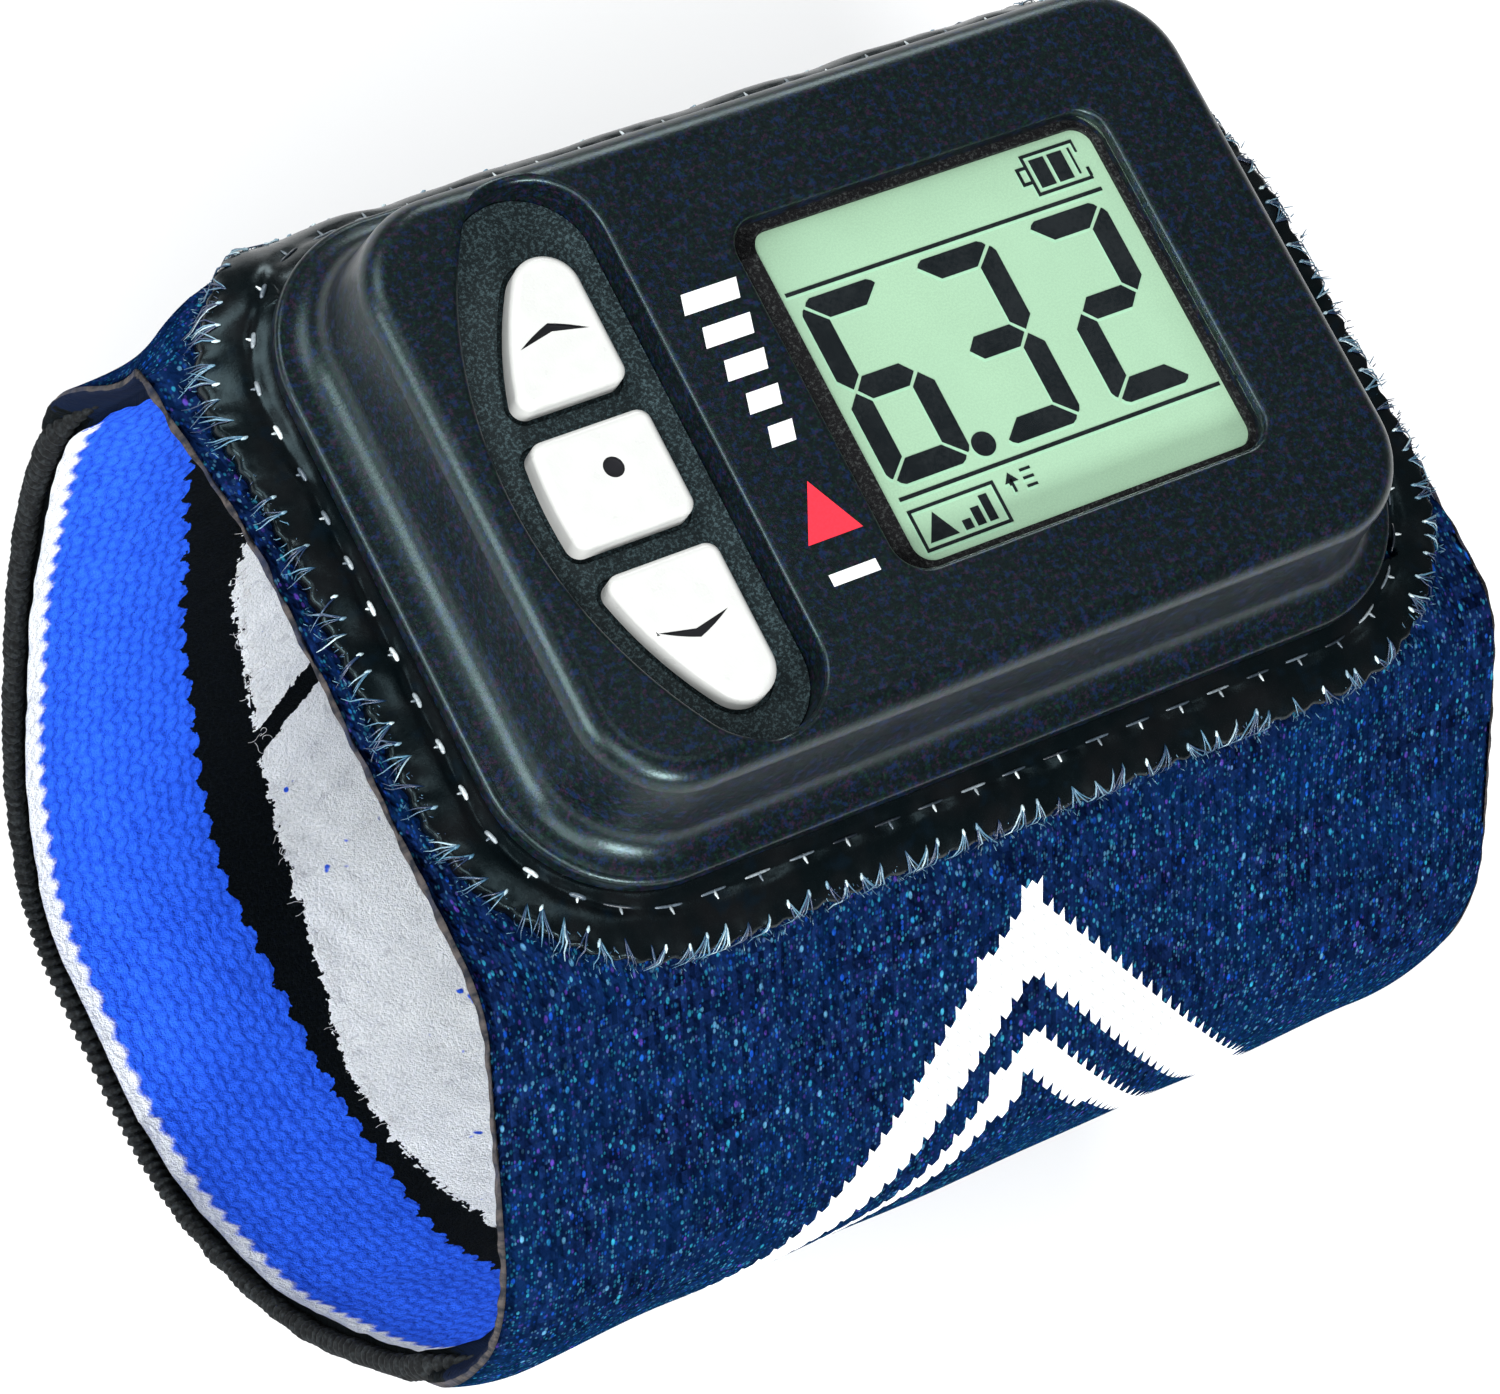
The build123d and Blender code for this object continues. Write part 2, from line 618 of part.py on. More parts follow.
def sew_in_flange():
    """A sheet that follows the band round the housing, clamped by the shells."""
    sheet = loop_prism(FLANGE_GAP + FLANGE_THICK, BAND_WIDTH)
    sheet -= loop_prism(FLANGE_GAP, BAND_WIDTH + 2)
    low_x, high_x = FLANGE_X
    low_y, high_y = FLANGE_Y
    outline = (high_x - low_x, high_y - low_y, FLANGE_CORNER)
    middle = ((low_x + high_x) / 2, (low_y + high_y) / 2)
    body = sheet & slab(outline, FLANGE_LOWEST, PARTING + 1, *middle)
    body -= slab(grown(TUB_RIM, FIT_GAP), FLANGE_LOWEST, PARTING + 1)
    return body - slab(grown(TUB, FIT_GAP), FLANGE_LOWEST, BAND_TOP)


def main():
    os.makedirs("parts", exist_ok=True)
    layers, shelf = display_layers()
    shelf -= LAYER_GAP
    save("upper_housing", upper_housing())
    save("lower_housing", lower_housing())
    save("housing_gasket", housing_gasket())
    save("case_screws", each(PILLAR_AT, case_screw))
    save("sew_in_flange", sew_in_flange())
    save("elastic_band", elastic_band())
    save("display_window", display_window())
    save("window_mask", window_mask())
    for name, layer in layers.items():
        save(name, layer)
    save("lcd_holder", lcd_holder(shelf))
    save("zebra_connectors", zebra_connectors())
    save("backlight_leds", backlight_leds(shelf))
    save("keypad_membrane", keypad_membrane())
    for name in KEY_SPLITS:
        save(f"{name}_button", button(name))
        save(f"{name}_switch_dome", switch_dome(name))
    save("main_circuit_board", main_circuit_board())
    save("microcontroller", microcontroller())
    save("pressure_sensor", pressure_sensor())
    save("pressure_port_membrane", pressure_port_membrane())
    save("quartz_crystal", quartz_crystal())
    save("board_components", board_components())
    save("coin_cell", coin_cell())
    save("battery_negative_contact", battery_negative_contact())
    save("battery_positive_contact", battery_positive_contact())
    save("battery_cap", battery_cap())
    save("battery_cap_o_ring", battery_cap_o_ring())


main()
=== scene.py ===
import math

import bpy
import numpy as np
from mathutils import Matrix, Vector


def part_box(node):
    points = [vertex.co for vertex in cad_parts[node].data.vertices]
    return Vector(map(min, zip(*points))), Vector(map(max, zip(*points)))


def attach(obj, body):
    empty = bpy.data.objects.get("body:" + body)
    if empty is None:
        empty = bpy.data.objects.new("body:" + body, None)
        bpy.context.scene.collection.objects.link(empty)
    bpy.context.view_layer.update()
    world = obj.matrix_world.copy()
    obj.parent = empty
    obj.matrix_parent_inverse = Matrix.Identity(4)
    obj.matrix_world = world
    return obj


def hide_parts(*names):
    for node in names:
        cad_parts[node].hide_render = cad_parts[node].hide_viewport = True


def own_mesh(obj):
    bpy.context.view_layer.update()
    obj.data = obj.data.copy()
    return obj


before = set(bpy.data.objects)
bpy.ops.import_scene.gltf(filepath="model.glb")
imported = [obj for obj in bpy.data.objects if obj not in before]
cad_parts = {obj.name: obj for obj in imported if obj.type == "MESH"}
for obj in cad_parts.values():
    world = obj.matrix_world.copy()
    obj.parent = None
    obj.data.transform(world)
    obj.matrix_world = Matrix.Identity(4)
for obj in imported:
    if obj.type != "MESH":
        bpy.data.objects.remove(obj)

# A wrist altimeter sewn into a knitted elastic loop. Shapes are worked out in
# millimetres in the CAD model's frame and turned into metres as meshes are made.

MM = 0.001
rng = np.random.default_rng(7)
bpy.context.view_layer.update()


def node_box(node):
    """A CAD node's lowest and highest corner, in millimetres."""
    low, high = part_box(node)
    return np.array(low) / MM, np.array(high) / MM


tub_low, tub_high = node_box("lower_housing")
HX, HY = (tub_low[:2] + tub_high[:2]) / 2
housing_low, housing_high = node_box("upper_housing")
TOP = housing_high[2]
SKIRT_MIDDLE = (housing_low[0] + housing_high[0]) / 2
SKIRT_HALF = (housing_high[:2] - housing_low[:2]) / 2
PLATE_UNDER = node_box("display_window")[0][2]
screen_low, screen_high = node_box("lcd_reflector")
SX, SY = (screen_low[:2] + screen_high[:2]) / 2
BAND_HALF = node_box("elastic_band")[1][0]
flange_low, flange_high = node_box("sew_in_flange")

# ------------------------------------------------------------- the band's loop
# Corners of the loop's section: Y from the housing centre, Z, rounding radius.
LOOP_CORNERS = [
    (22.0, 60.2, 4.5), (22.0, 30.0, 70.0), (14.5, 9.0, 35.0), (6.0, 0.0, 10.5),
    (-13.5, 0.0, 19.5), (-27.0, 10.0, 39.0), (-37.3, 31.0, 25.0), (-37.3, 43.2, 15.5),
    (-22.6, 60.2, 6.0),
]
BAND_THICK = 2.2
STEP = 0.05


def rounded_loop(corners):
    """Points and outward normals every STEP along the loop, from the top centre
    towards the near side."""
    places = [np.array([HY + y, z]) for y, z, _ in corners]
    arcs = []
    for i, here in enumerate(places):
        before, after = places[i - 1], places[(i + 1) % len(places)]
        u = (before - here) / np.linalg.norm(before - here)
        v = (after - here) / np.linalg.norm(after - here)
        half = math.acos(np.clip(u @ v, -1, 1)) / 2
        radius = corners[i][2]
        centre = here + (u + v) / np.linalg.norm(u + v) * radius / math.sin(half)
        tangent = radius / math.tan(half)
        arcs.append((here + u * tangent, here + v * tangent, centre, radius))
    points, normals = [], []
    for i, (start, end, centre, radius) in enumerate(arcs):
        a0 = math.atan2(start[1] - centre[1], start[0] - centre[0])
        a1 = math.atan2(end[1] - centre[1], end[0] - centre[0])
        turn = (a1 - a0 + math.pi) % (2 * math.pi) - math.pi
        count = max(2, int(abs(turn) * radius / STEP))
        for k in range(count + 1):
            a = a0 + turn * k / count
            normals.append((math.cos(a), math.sin(a)))
            points.append(centre + radius * np.array(normals[-1]))
        following = arcs[(i + 1) % len(arcs)][0]
        count = max(2, int(np.linalg.norm(following - end) / STEP))
        for k in range(1, count):
            normals.append(normals[-1])
            points.append(end + (following - end) * k / count)
    points, normals = np.array(points)[::-1], np.array(normals)[::-1]
    start = np.argmin(np.abs(points[:, 0] - HY) + 1e3 * (points[:, 1] < TOP * 0.8))
    return np.roll(points, -start, 0), np.roll(normals, -start, 0)


LOOP, LOOP_NORMAL = rounded_loop(LOOP_CORNERS)
LOOP = np.vstack([LOOP, LOOP[:1]])
LOOP_NORMAL = np.vstack([LOOP_NORMAL, LOOP_NORMAL[:1]])
LOOP_AT = np.r_[0, np.cumsum(np.linalg.norm(np.diff(LOOP, axis=0), axis=1))]
ROUND = LOOP_AT[-1]
CURL_START, CURL_DEPTH = 30.0, 1.1
DROOP_START, DROOP_DEPTH = 26.0, 4.0     # of the rims at the far top corner
BULGE_DEPTH = 1.6                        # of the rims below that corner
ROLL_START = 27.0
ROLL_NEAR, ROLL_FAR = 2.0, 1.5


def smooth(value, low, high):
    t = np.clip((np.asarray(value, float) - low) / (high - low), 0, 1)
    return t * t * (3 - 2 * t)


def from_top(s):
    """s as a signed distance round the loop from the top centre."""
    return (np.asarray(s) + ROUND / 2) % ROUND - ROUND / 2


def past(x, start):
    """How far across the band's outer strip x is, from 0 to 1 at the rim."""
    return np.clip((np.abs(x) - start) / (BAND_HALF - start), 0, 1)


def curl(x, s):
    """How far the loop's rims bend inwards."""
    around = from_top(s)
    away = smooth(np.abs(around), 26, 48)
    corner = smooth(-around, 4, 19) * smooth(around, -38, -24)
    below = smooth(-around, 24, 39) * smooth(around, -70, -40)
    droop = DROOP_DEPTH * corner - BULGE_DEPTH * below
    return CURL_DEPTH * away * past(x, CURL_START) ** 2 + droop * past(x, DROOP_START) ** 1.7


def roll_shares(s):
    """How far the rims roll the near side's way and the far side's way at s."""
    around = from_top(s)
    near = smooth(around, -40, -33) * smooth(around, 59, 52)
    far = 1 - smooth(around, -47, -38) * smooth(around, 64, 56)
    return near, far


def rolled(x, s, depth):
    """x after the rim's roll: inner layers step back at the near side of the
    loop, and outer layers at the far side. depth is 0 outside and 1 inside."""
    near, far = roll_shares(s)
    back = ROLL_NEAR * near * depth + ROLL_FAR * far * (1 - depth)
    return x - np.sign(x) * back * past(x, ROLL_START) ** 1.5


def on_band(x, s, lift):
    """Points above the band's outer face: x across it, s round it, all in mm."""
    x, s, lift = np.broadcast_arrays(np.asarray(x, float), s, lift)
    wrapped = s % ROUND
    lift = lift - curl(x, s)
    y = np.interp(wrapped, LOOP_AT, LOOP[:, 0])
    z = np.interp(wrapped, LOOP_AT, LOOP[:, 1])
    ny = np.interp(wrapped, LOOP_AT, LOOP_NORMAL[:, 0])
    nz = np.interp(wrapped, LOOP_AT, LOOP_NORMAL[:, 1])
    length = np.hypot(ny, nz)
    return np.stack([x, y + ny / length * lift, z + nz / length * lift], -1)


def wave_noise(x, y, seed, size, waves=24):
    """Smooth random height from -1 to 1 or so, features about size across."""
    own = np.random.default_rng(seed)
    total = np.zeros(np.broadcast(x, y).shape)
    for _ in range(waves):
        angle, phase = own.uniform(0, 2 * math.pi, 2)
        pitch = size * own.uniform(0.6, 1.7)
        total += np.sin((x * math.cos(angle) + y * math.sin(angle)) * 2 * math.pi / pitch + phase)
    return total / math.sqrt(waves)


# ------------------------------------------------------------------ materials
def operation(name):
    """A method that passes a value through one Math node."""
    return lambda value, *others: value.shade.math(name, value, *others)


class Val:
    """A value in a material's node tree, with arithmetic."""

    def __init__(self, shade, socket):
        self.shade, self.socket = shade, socket

    def __rsub__(self, other):
        return self.shade.math("SUBTRACT", other, self)

    __add__ = __radd__ = operation("ADD")
    __sub__ = operation("SUBTRACT")
    __mul__ = __rmul__ = operation("MULTIPLY")
    __truediv__ = operation("DIVIDE")
    floor, frac = operation("FLOOR"), operation("FRACT")
    abs, sin = operation("ABSOLUTE"), operation("SINE")
    below, above = operation("LESS_THAN"), operation("GREATER_THAN")
    least, most = operation("MINIMUM"), operation("MAXIMUM")


class Shade:
    """A material built from nodes. Lengths inside are in millimetres."""

    def __init__(self, name, color=(0.5, 0.5, 0.5), rough=0.5, **inputs):
        self.mat = bpy.data.materials.new(name)
        self.mat.use_nodes = True
        self.nodes = self.mat.node_tree.nodes
        self.links = self.mat.node_tree.links
        self.bsdf = self.nodes["Principled BSDF"]
        self.set("Base Color", color)
        self.set("Roughness", rough)
        for key, value in inputs.items():
            self.set(key.replace("_", " "), value)

    def set(self, socket, value):
        self.feed(self.bsdf.inputs[socket], value)

    def feed(self, socket, value):
        if isinstance(value, Val):
            self.links.new(value.socket, socket)
        elif isinstance(value, tuple) and socket.type == "RGBA":
            socket.default_value = (*value[:3], 1.0)
        else:
            socket.default_value = value

    def add(self, kind, **settings):
        node = self.nodes.new("ShaderNode" + kind)
        for key, value in settings.items():
            setattr(node, key, value)
        return node

    def math(self, operation, *values):
        node = self.add("Math", operation=operation)
        for socket, value in zip(node.inputs, values):
            self.feed(socket, value)
        return Val(self, node.outputs[0])

    def mix(self, share, first, second):
        node = self.add("Mix", data_type="RGBA")
        self.feed(node.inputs[0], share)
        self.feed(node.inputs[6], first)
        self.feed(node.inputs[7], second)
        return Val(self, node.outputs[2])

    def point(self, x, y, z=0.0):
        node = self.add("CombineXYZ")
        for socket, value in zip(node.inputs, (x, y, z)):
            self.feed(socket, value)
        return Val(self, node.outputs[0])

    def split(self, value):
        node = self.add("SeparateXYZ")
        self.feed(node.inputs[0], value)
        return [Val(self, socket) for socket in node.outputs]

    def place(self):
        """Where the surface is in the model's frame, in millimetres."""
        node = self.add("VectorMath", operation="SCALE")
        self.links.new(self.add("TexCoord").outputs["Object"], node.inputs[0])
        node.inputs["Scale"].default_value = 1 / MM
        return Val(self, node.outputs[0])

    def attribute(self, name, output):
        return Val(self, self.add("Attribute", attribute_name=name).outputs[output])

    def noise(self, where, scale, detail=2.0, rough=0.5):
        node = self.add("TexNoise")
        self.feed(node.inputs["Vector"], where)
        for key, value in (("Scale", scale), ("Detail", detail), ("Roughness", rough)):
            node.inputs[key].default_value = value
        return Val(self, node.outputs["Fac"])

    def chance(self, x, y, z=0.0):
        """A random number for each whole x, y and z."""
        node = self.add("TexWhiteNoise", noise_dimensions="3D")
        self.feed(node.inputs["Vector"], self.point(x, y, z))
        return Val(self, node.outputs["Value"])

    def ramp(self, value, low, high, first=0.0, last=1.0):
        node = self.add("MapRange", interpolation_type="SMOOTHSTEP")
        for socket, v in zip(node.inputs, (value, low, high, first, last)):
            self.feed(socket, v)
        return Val(self, node.outputs[0])

    def curve(self, value, points):
        node = self.add("FloatCurve")
        self.feed(node.inputs["Value"], value)
        line = node.mapping.curves[0]
        for i, (at, height) in enumerate(points):
            if 0 < i < len(points) - 1:
                spot = line.points.new(at, height)
            else:
                spot = line.points[0 if i == 0 else -1]
            spot.location = (at, height)
        node.mapping.update()
        return Val(self, node.outputs[0])

    def patch(self, base, value, low, high, share, color):
        """base with a share of color over it, where value rises from low to high."""
        return self.mix(self.ramp(value, low, high, 0.0, share), base, color)

    def surface(self, color, height, rough=None):
        """Sets the colour, a relief from a height in millimetres, and the roughness."""
        self.set("Base Color", color)
        if rough is not None:
            self.set("Roughness", rough)
        node = self.add("Bump")
        node.inputs["Strength"].default_value = 1.0
        node.inputs["Distance"].default_value = MM
        self.feed(node.inputs["Height"], height)
        self.links.new(node.outputs["Normal"], self.bsdf.inputs["Normal"])
        return self


def moulded(name, color, rough=0.45, tint=0.25, grain=0.012, fine=5.0):
    """Moulded plastic: faint colour mottling, uneven gloss and a fine grain."""
    m = Shade(name, color, rough)
    where = m.place()
    mottled = m.noise(where, 0.35, 3.0)
    speck = m.noise(where, fine, 2.0)
    lighter = tuple(min(1.0, c * (1 + tint) + 0.006) for c in color)
    darker = tuple(c * (1 - tint) for c in color)
    base = m.patch(darker, mottled * 0.5 + speck * 0.5, 0.38, 0.62, 1.0, lighter)
    return m.surface(base, speck * grain, m.ramp(mottled, 0.3, 0.7, rough - 0.05, rough + 0.06))


def metal(name, color, rough=0.35):
    """Sheet metal with faint rolling lines and small stains."""
    m = Shade(name, color, rough, Metallic=1.0)
    x, y, z = m.split(m.place())
    lines = m.noise(m.point(x * 0.15, y * 6.0, z * 6.0), 1.0, 3.0)
    stain = m.noise(m.place(), 0.6, 3.0)
    base = m.patch(tuple(c * 0.8 for c in color), stain, 0.35, 0.7, 1.0, color)
    return m.surface(base, lines * 0.01, m.ramp(lines, 0.3, 0.7, rough - 0.1, rough + 0.12))


def speckled(name, dark, pale, rough, relief, noise=(6.0, 2.0), span=(0.35, 0.65), **inputs):
    """Two tones of one fine noise, which is its relief too."""
    m = Shade(name, pale, rough, **inputs)
    speck = m.noise(m.place(), *noise)
    return m.surface(m.patch(dark, speck, *span, 1.0, pale), speck * relief)


def housing_black():
    """Satin black with a fine grain and a faint blue, violet and green mottling."""
    m = Shade("housing_black", rough=0.4, Specular_IOR_Level=0.38, Specular_Tint=(0.66, 0.95, 0.97))
    where = m.place()
    grain = m.noise(where, 4.5, 3.0, 0.7)
    base = m.patch((0.0003, 0.0008, 0.0010), grain, 0.3, 0.72, 1.0, (0.0025, 0.0055, 0.0065))
    for scale, low, share, color in (
            (1.7, 0.50, 0.7, (0.004, 0.012, 0.055)), (2.3, 0.52, 0.6, (0.028, 0.007, 0.030)),
            (2.9, 0.52, 0.6, (0.004, 0.026, 0.012))):
        base = m.patch(base, m.noise(where, scale, 3.0, 0.8), low, low + 0.16, share, color)
    return m.surface(base, grain * 0.012, m.ramp(m.noise(where, 0.25), 0.35, 0.65, 0.29, 0.33))


def key_white(name, mark_x, mark_y):
    """Off-white key plastic with black paint in its engraved mark."""
    top = node_box(f"{name}_button")[1][2]
    m = Shade(f"key_white_{name}", rough=0.32, Subsurface_Weight=0.08)
    m.bsdf.inputs["Subsurface Radius"].default_value = (0.001, 0.001, 0.0008)
    where = m.place()
    x, y, z = m.split(where)
    cloud = m.noise(where, 0.8, 3.0)
    clean = m.patch((0.56, 0.57, 0.555), cloud, 0.35, 0.65, 1.0, (0.58, 0.59, 0.575))
    arm = (x - mark_x).abs()
    bend = {"up": -0.45, "down": 0.45}.get(name, 0.0)
    near = arm.below(2.22) * (y - mark_y - arm * bend + 1.1 * bend).abs().below(0.62)
    sunk = near * z.below(top - 0.06) * z.above(top - 0.26)
    color = m.mix(sunk, clean, (0.006, 0.006, 0.009))
    return m.surface(color, m.noise(where, 7.0) * 0.006, m.ramp(cloud, 0.3, 0.7, 0.27, 0.37))


def clear_pane(name):
    """Clear plastic: a little mirror reflection over whatever lies beneath."""
    m = Shade(name, (1.0, 1.0, 1.0), 0.05, Metallic=1.0)
    fresnel = m.add("Fresnel")
    fresnel.inputs["IOR"].default_value = 1.49
    haze = m.noise(m.place(), 0.5)
    m.set("Alpha", Val(m, fresnel.outputs[0]) * m.ramp(haze, 0.3, 0.7, 0.12, 0.18))
    m.set("Roughness", m.ramp(haze, 0.3, 0.7, 0.04, 0.08))
    return m


def lcd_green():
    m = Shade("lcd_green", rough=0.55)
    where = m.place()
    grain = m.noise(where, 9.0, 1.0)
    cloud = m.noise(where, 0.18, 1.0)
    base = m.patch((0.31, 0.49, 0.335), grain, 0.3, 0.7, 1.0, (0.34, 0.54, 0.37))
    return m.surface(m.patch(base, cloud, 0.3, 0.7, 0.25, (0.32, 0.51, 0.36)), grain * 0.004)


WALE, COURSE = 0.75, 0.92            # knit columns and rows on the outside
MOTIF_X, MOTIF_TOP, MOTIF_SLOPE = 0.7, 28.4, 1.28
MOTIF_REACH = 21.0
MOTIF_BANDS = ((0.0, 6.2), (9.4, 3.6))
# Glints: width and length of a cell, the share of cells left dark, brightness.
GLINTS = ((0.17, 0.26, 0.64, 0.35), (0.23, 0.37, 0.88, 0.6), (0.31, 0.52, 0.968, 1.0))


def knit_outside():
    """Navy knit with glinting threads and a white double chevron."""
    m = Shade("knit_outside", rough=0.7, Specular_IOR_Level=0.0)
    cloth = m.attribute("cloth", "Vector")
    x, s, _ = m.split(cloth)

    column = (x / WALE).floor()
    across = (x / WALE).frac() - 0.5
    lean = s + across.abs() * 0.9
    row = (lean / COURSE).floor()
    stitch_x = (column + 0.5) * WALE
    stitch_s = (row + 0.5) * COURSE
    wander = (m.noise(m.point(stitch_x, stitch_s), 0.55, 1.0) - 0.5) * 1.1
    arm = (stitch_x - MOTIF_X).abs()
    depth = stitch_s - MOTIF_TOP - arm * MOTIF_SLOPE + wander
    white = None
    for start, thick in MOTIF_BANDS:
        band = depth.above(start) * depth.below(thick + start - arm * 0.08)
        white = band if white is None else white.most(band)
    white = white * arm.below(MOTIF_REACH)

    thread = m.chance((x / 0.36).floor(), (s / 0.8).floor())
    base = m.mix(thread, (0.0012, 0.003, 0.013), (0.0055, 0.018, 0.080))
    clump = m.noise(cloth, 0.75, 3.0, 0.7)
    base = m.mix(m.ramp(clump, 0.42, 0.62, 0.55, 0.0), base, (0.0006, 0.002, 0.010))
    base = m.patch(base, m.noise(cloth, 0.16), 0.35, 0.7, 0.5, (0.0015, 0.014, 0.058))
    # Painted sheen: a teal tint on the lower part of the loop, far round from the top.
    base = m.patch(base, s.abs(), 42.0, 66.0, 0.6, (0.002, 0.034, 0.080))
    for i, (wide, tall, dark, glow) in enumerate(GLINTS):
        col = (x / wide).floor()
        along = s / tall + m.chance(col, i + 3.5)
        cell = along.floor()
        luck = m.chance(col, cell, i + 0.5)
        hue = m.chance(col, cell, i + 7.5)
        fx, fs = (x / wide).frac() - 0.5, along.frac() - 0.5
        spot = m.ramp(fx * fx * 4.2 + fs * fs * 3.4, 0.15, 1.0, 1.0, 0.0)
        lit = m.ramp(luck, dark, 1.0) * spot * m.ramp(clump, 0.36, 0.62, glow * 0.45, glow)
        tint = m.patch((0.008, 0.07, 0.45), hue, 0.25, 0.45, 1.0, (0.03, 0.34, 0.50))
        tint = m.patch(tint, hue, 0.62, 0.72, 1.0, (0.10, 0.30, 0.48))
        tint = m.patch(tint, hue, 0.86, 0.92, 1.0, (0.11, 0.05, 0.42))
        base = m.mix(lit, base, tint)
    knit = (0.5 - across.abs()) * 2.0
    vee = (lean / COURSE).frac()
    off_vee = (vee - 0.5).abs()
    shade = m.ramp(knit, 0.0, 0.35, 0.72, 1.0) * m.ramp(off_vee, 0.30, 0.5, 1.0, 0.86)
    pale = m.mix(shade, (0.40, 0.42, 0.47), (0.84, 0.86, 0.86))
    pale = m.patch(pale, m.noise(cloth, 2.2), 0.45, 0.8, 0.35, (0.62, 0.66, 0.70))
    fuzz = m.noise(cloth, 3.2, 3.0, 0.7)
    relief = m.ramp(knit, 0.0, 0.8) * 0.10 + m.ramp(off_vee, 0.2, 0.5, 1.0, 0.0) * 0.07
    rough = m.ramp(fuzz, 0.35, 0.65, 0.45, 0.78)
    return m.surface(m.mix(white, base, pale), relief * 0.8 + fuzz * 0.09, rough)


SELVEDGE, LINE_END = 0.55, 1.95      # widths of the rim's strip and the line
NEAR_FROM, NEAR_TO = -36.5, 55.5     # where round the loop the line is rolled away
SIDE_SHIFT = 61.0                    # of the right half's pattern, round the loop
BREAK_PITCH, BREAK_HALF, BREAK_LEAN, BREAK_AT = ROUND / 4, 1.25, 1.03, 94.1
# Distances from the rim in units of EDGE_UNIT, at shares of the way round the loop.
EDGE_UNIT = 40.0
BLUE_EDGE = [
    (0.0, 0.26), (0.30, 0.265), (0.392, 0.283), (0.462, 0.32), (0.558, 0.32), (0.628, 0.31),
    (0.678, 0.288), (0.718, 0.272), (0.764, 0.242), (0.79, 0.235), (1.0, 0.26),
]
DARK_EDGE = [
    (0.0, 0.37), (0.30, 0.36), (0.402, 0.367), (0.477, 0.368), (0.513, 0.392), (0.553, 0.428),
    (0.593, 0.437), (0.663, 0.40), (0.694, 0.38), (0.714, 0.38), (0.80, 0.375), (1.0, 0.37),
]


def knit_inside():
    """From each rim inwards: an off-white line, blue, a black stripe with
    scalloped sides, and off-white crossed by black breaks."""
    m = Shade("knit_inside", rough=0.85, Specular_IOR_Level=0.05)
    cloth = m.attribute("cloth", "Vector")
    x, s, _ = m.split(cloth)
    from_rim = BAND_HALF - x.abs()
    side = x.above(0.0)

    pile = m.noise(cloth, 4.0, 3.0, 0.75)
    fleck = m.noise(cloth, 1.3)
    ragged = (m.chance((x / 0.3).floor(), (s / 0.55).floor()) - 0.5) * 0.5
    ragged = ragged + (m.noise(cloth, 1.6, 2.0, 0.8) - 0.5) * 1.4
    scallop = ((s + (fleck - 0.5) * 1.6) * (math.pi / 2.35)).sin().abs()
    shifted = s + side * SIDE_SHIFT
    turn = (shifted / ROUND).frac()
    line_edge = LINE_END + (s * (2 * math.pi / 1.9)).sin() * 0.22 + (pile - 0.5) * 0.8
    blue_edge = m.curve(turn, BLUE_EDGE) * EDGE_UNIT + scallop * 0.6 + ragged * 0.3
    drift = (m.noise(m.point(s * 0.2, side * 3.0), 1.0, 3.0, 0.8) - 0.5) * 1.6
    dark_edge = m.curve(turn, DARK_EDGE) * EDGE_UNIT + drift + ragged * 0.9

    bent_x = x + (m.noise(cloth, 0.9) - 0.5) * 0.9
    bent_s = s + (m.noise(m.point(s, x, 3.0), 0.9) - 0.5) * 0.9
    wave = (bent_s * (2 * math.pi / 2.2)).sin() * 0.15
    ribs = bent_x / 0.86 + wave
    wales = ribs.frac() - 0.5
    loops = (bent_s / 1.1 + ribs.floor() * 0.5).frac() - 0.5
    hollow = m.ramp(wales.abs(), 0.12, 0.5) * 0.55 + m.ramp(loops.abs(), 0.15, 0.5) * 0.45
    soft = (pile - 0.5) * 1.2 + (m.noise(cloth, 0.5) - 0.5) * 0.5
    # Painted shade: the blue darkens in the knit's hollows; the pile adds random tone on top.
    hollow_shade_and_tone = (hollow * 0.8 + soft).least(1.0).most(0.0)
    blue = m.mix(hollow_shade_and_tone, (0.026, 0.135, 0.90), (0.006, 0.036, 0.44))
    blue = m.patch(blue, pile, 0.56, 0.8, 0.45, (0.10, 0.26, 1.0))
    cream = m.patch((0.74, 0.78, 0.77), pile, 0.3, 0.7, 1.0, (0.93, 0.95, 0.94))
    cream = m.patch(cream, fleck, 0.60, 0.72, 0.4, (0.48, 0.50, 0.51))
    dark = m.patch((0.0005, 0.0015, 0.002), pile, 0.4, 0.8, 1.0, (0.006, 0.009, 0.012))

    slant = (shifted - from_rim * BREAK_LEAN + BREAK_AT + ragged * 0.6) / BREAK_PITCH
    broken = ((slant + 0.5).frac() - 0.5).abs().below(BREAK_HALF / BREAK_PITCH)
    field = m.patch(cream, m.noise(m.point(x, s, 9.0), 0.55), 0.70, 0.74, 1.0, blue)
    field = m.mix(broken, field, dark)
    color = m.mix(from_rim.above(dark_edge), dark, field)
    color = m.mix(from_rim.above(blue_edge), blue, color)
    frayed = s + ragged * 2.0
    near = frayed.above(NEAR_FROM) * frayed.below(NEAR_TO)
    color = m.mix(m.ramp(from_rim, line_edge - 0.35, line_edge + 0.25).most(near), cream, color)
    rim_color = m.mix(near, dark, (0.002, 0.006, 0.020))
    color = m.mix(m.ramp(from_rim, SELVEDGE - 0.05, SELVEDGE + 0.15), rim_color, color)
    return m.surface(color, (1.0 - hollow) * from_rim.below(blue_edge) * 0.10 + pile * 0.28)


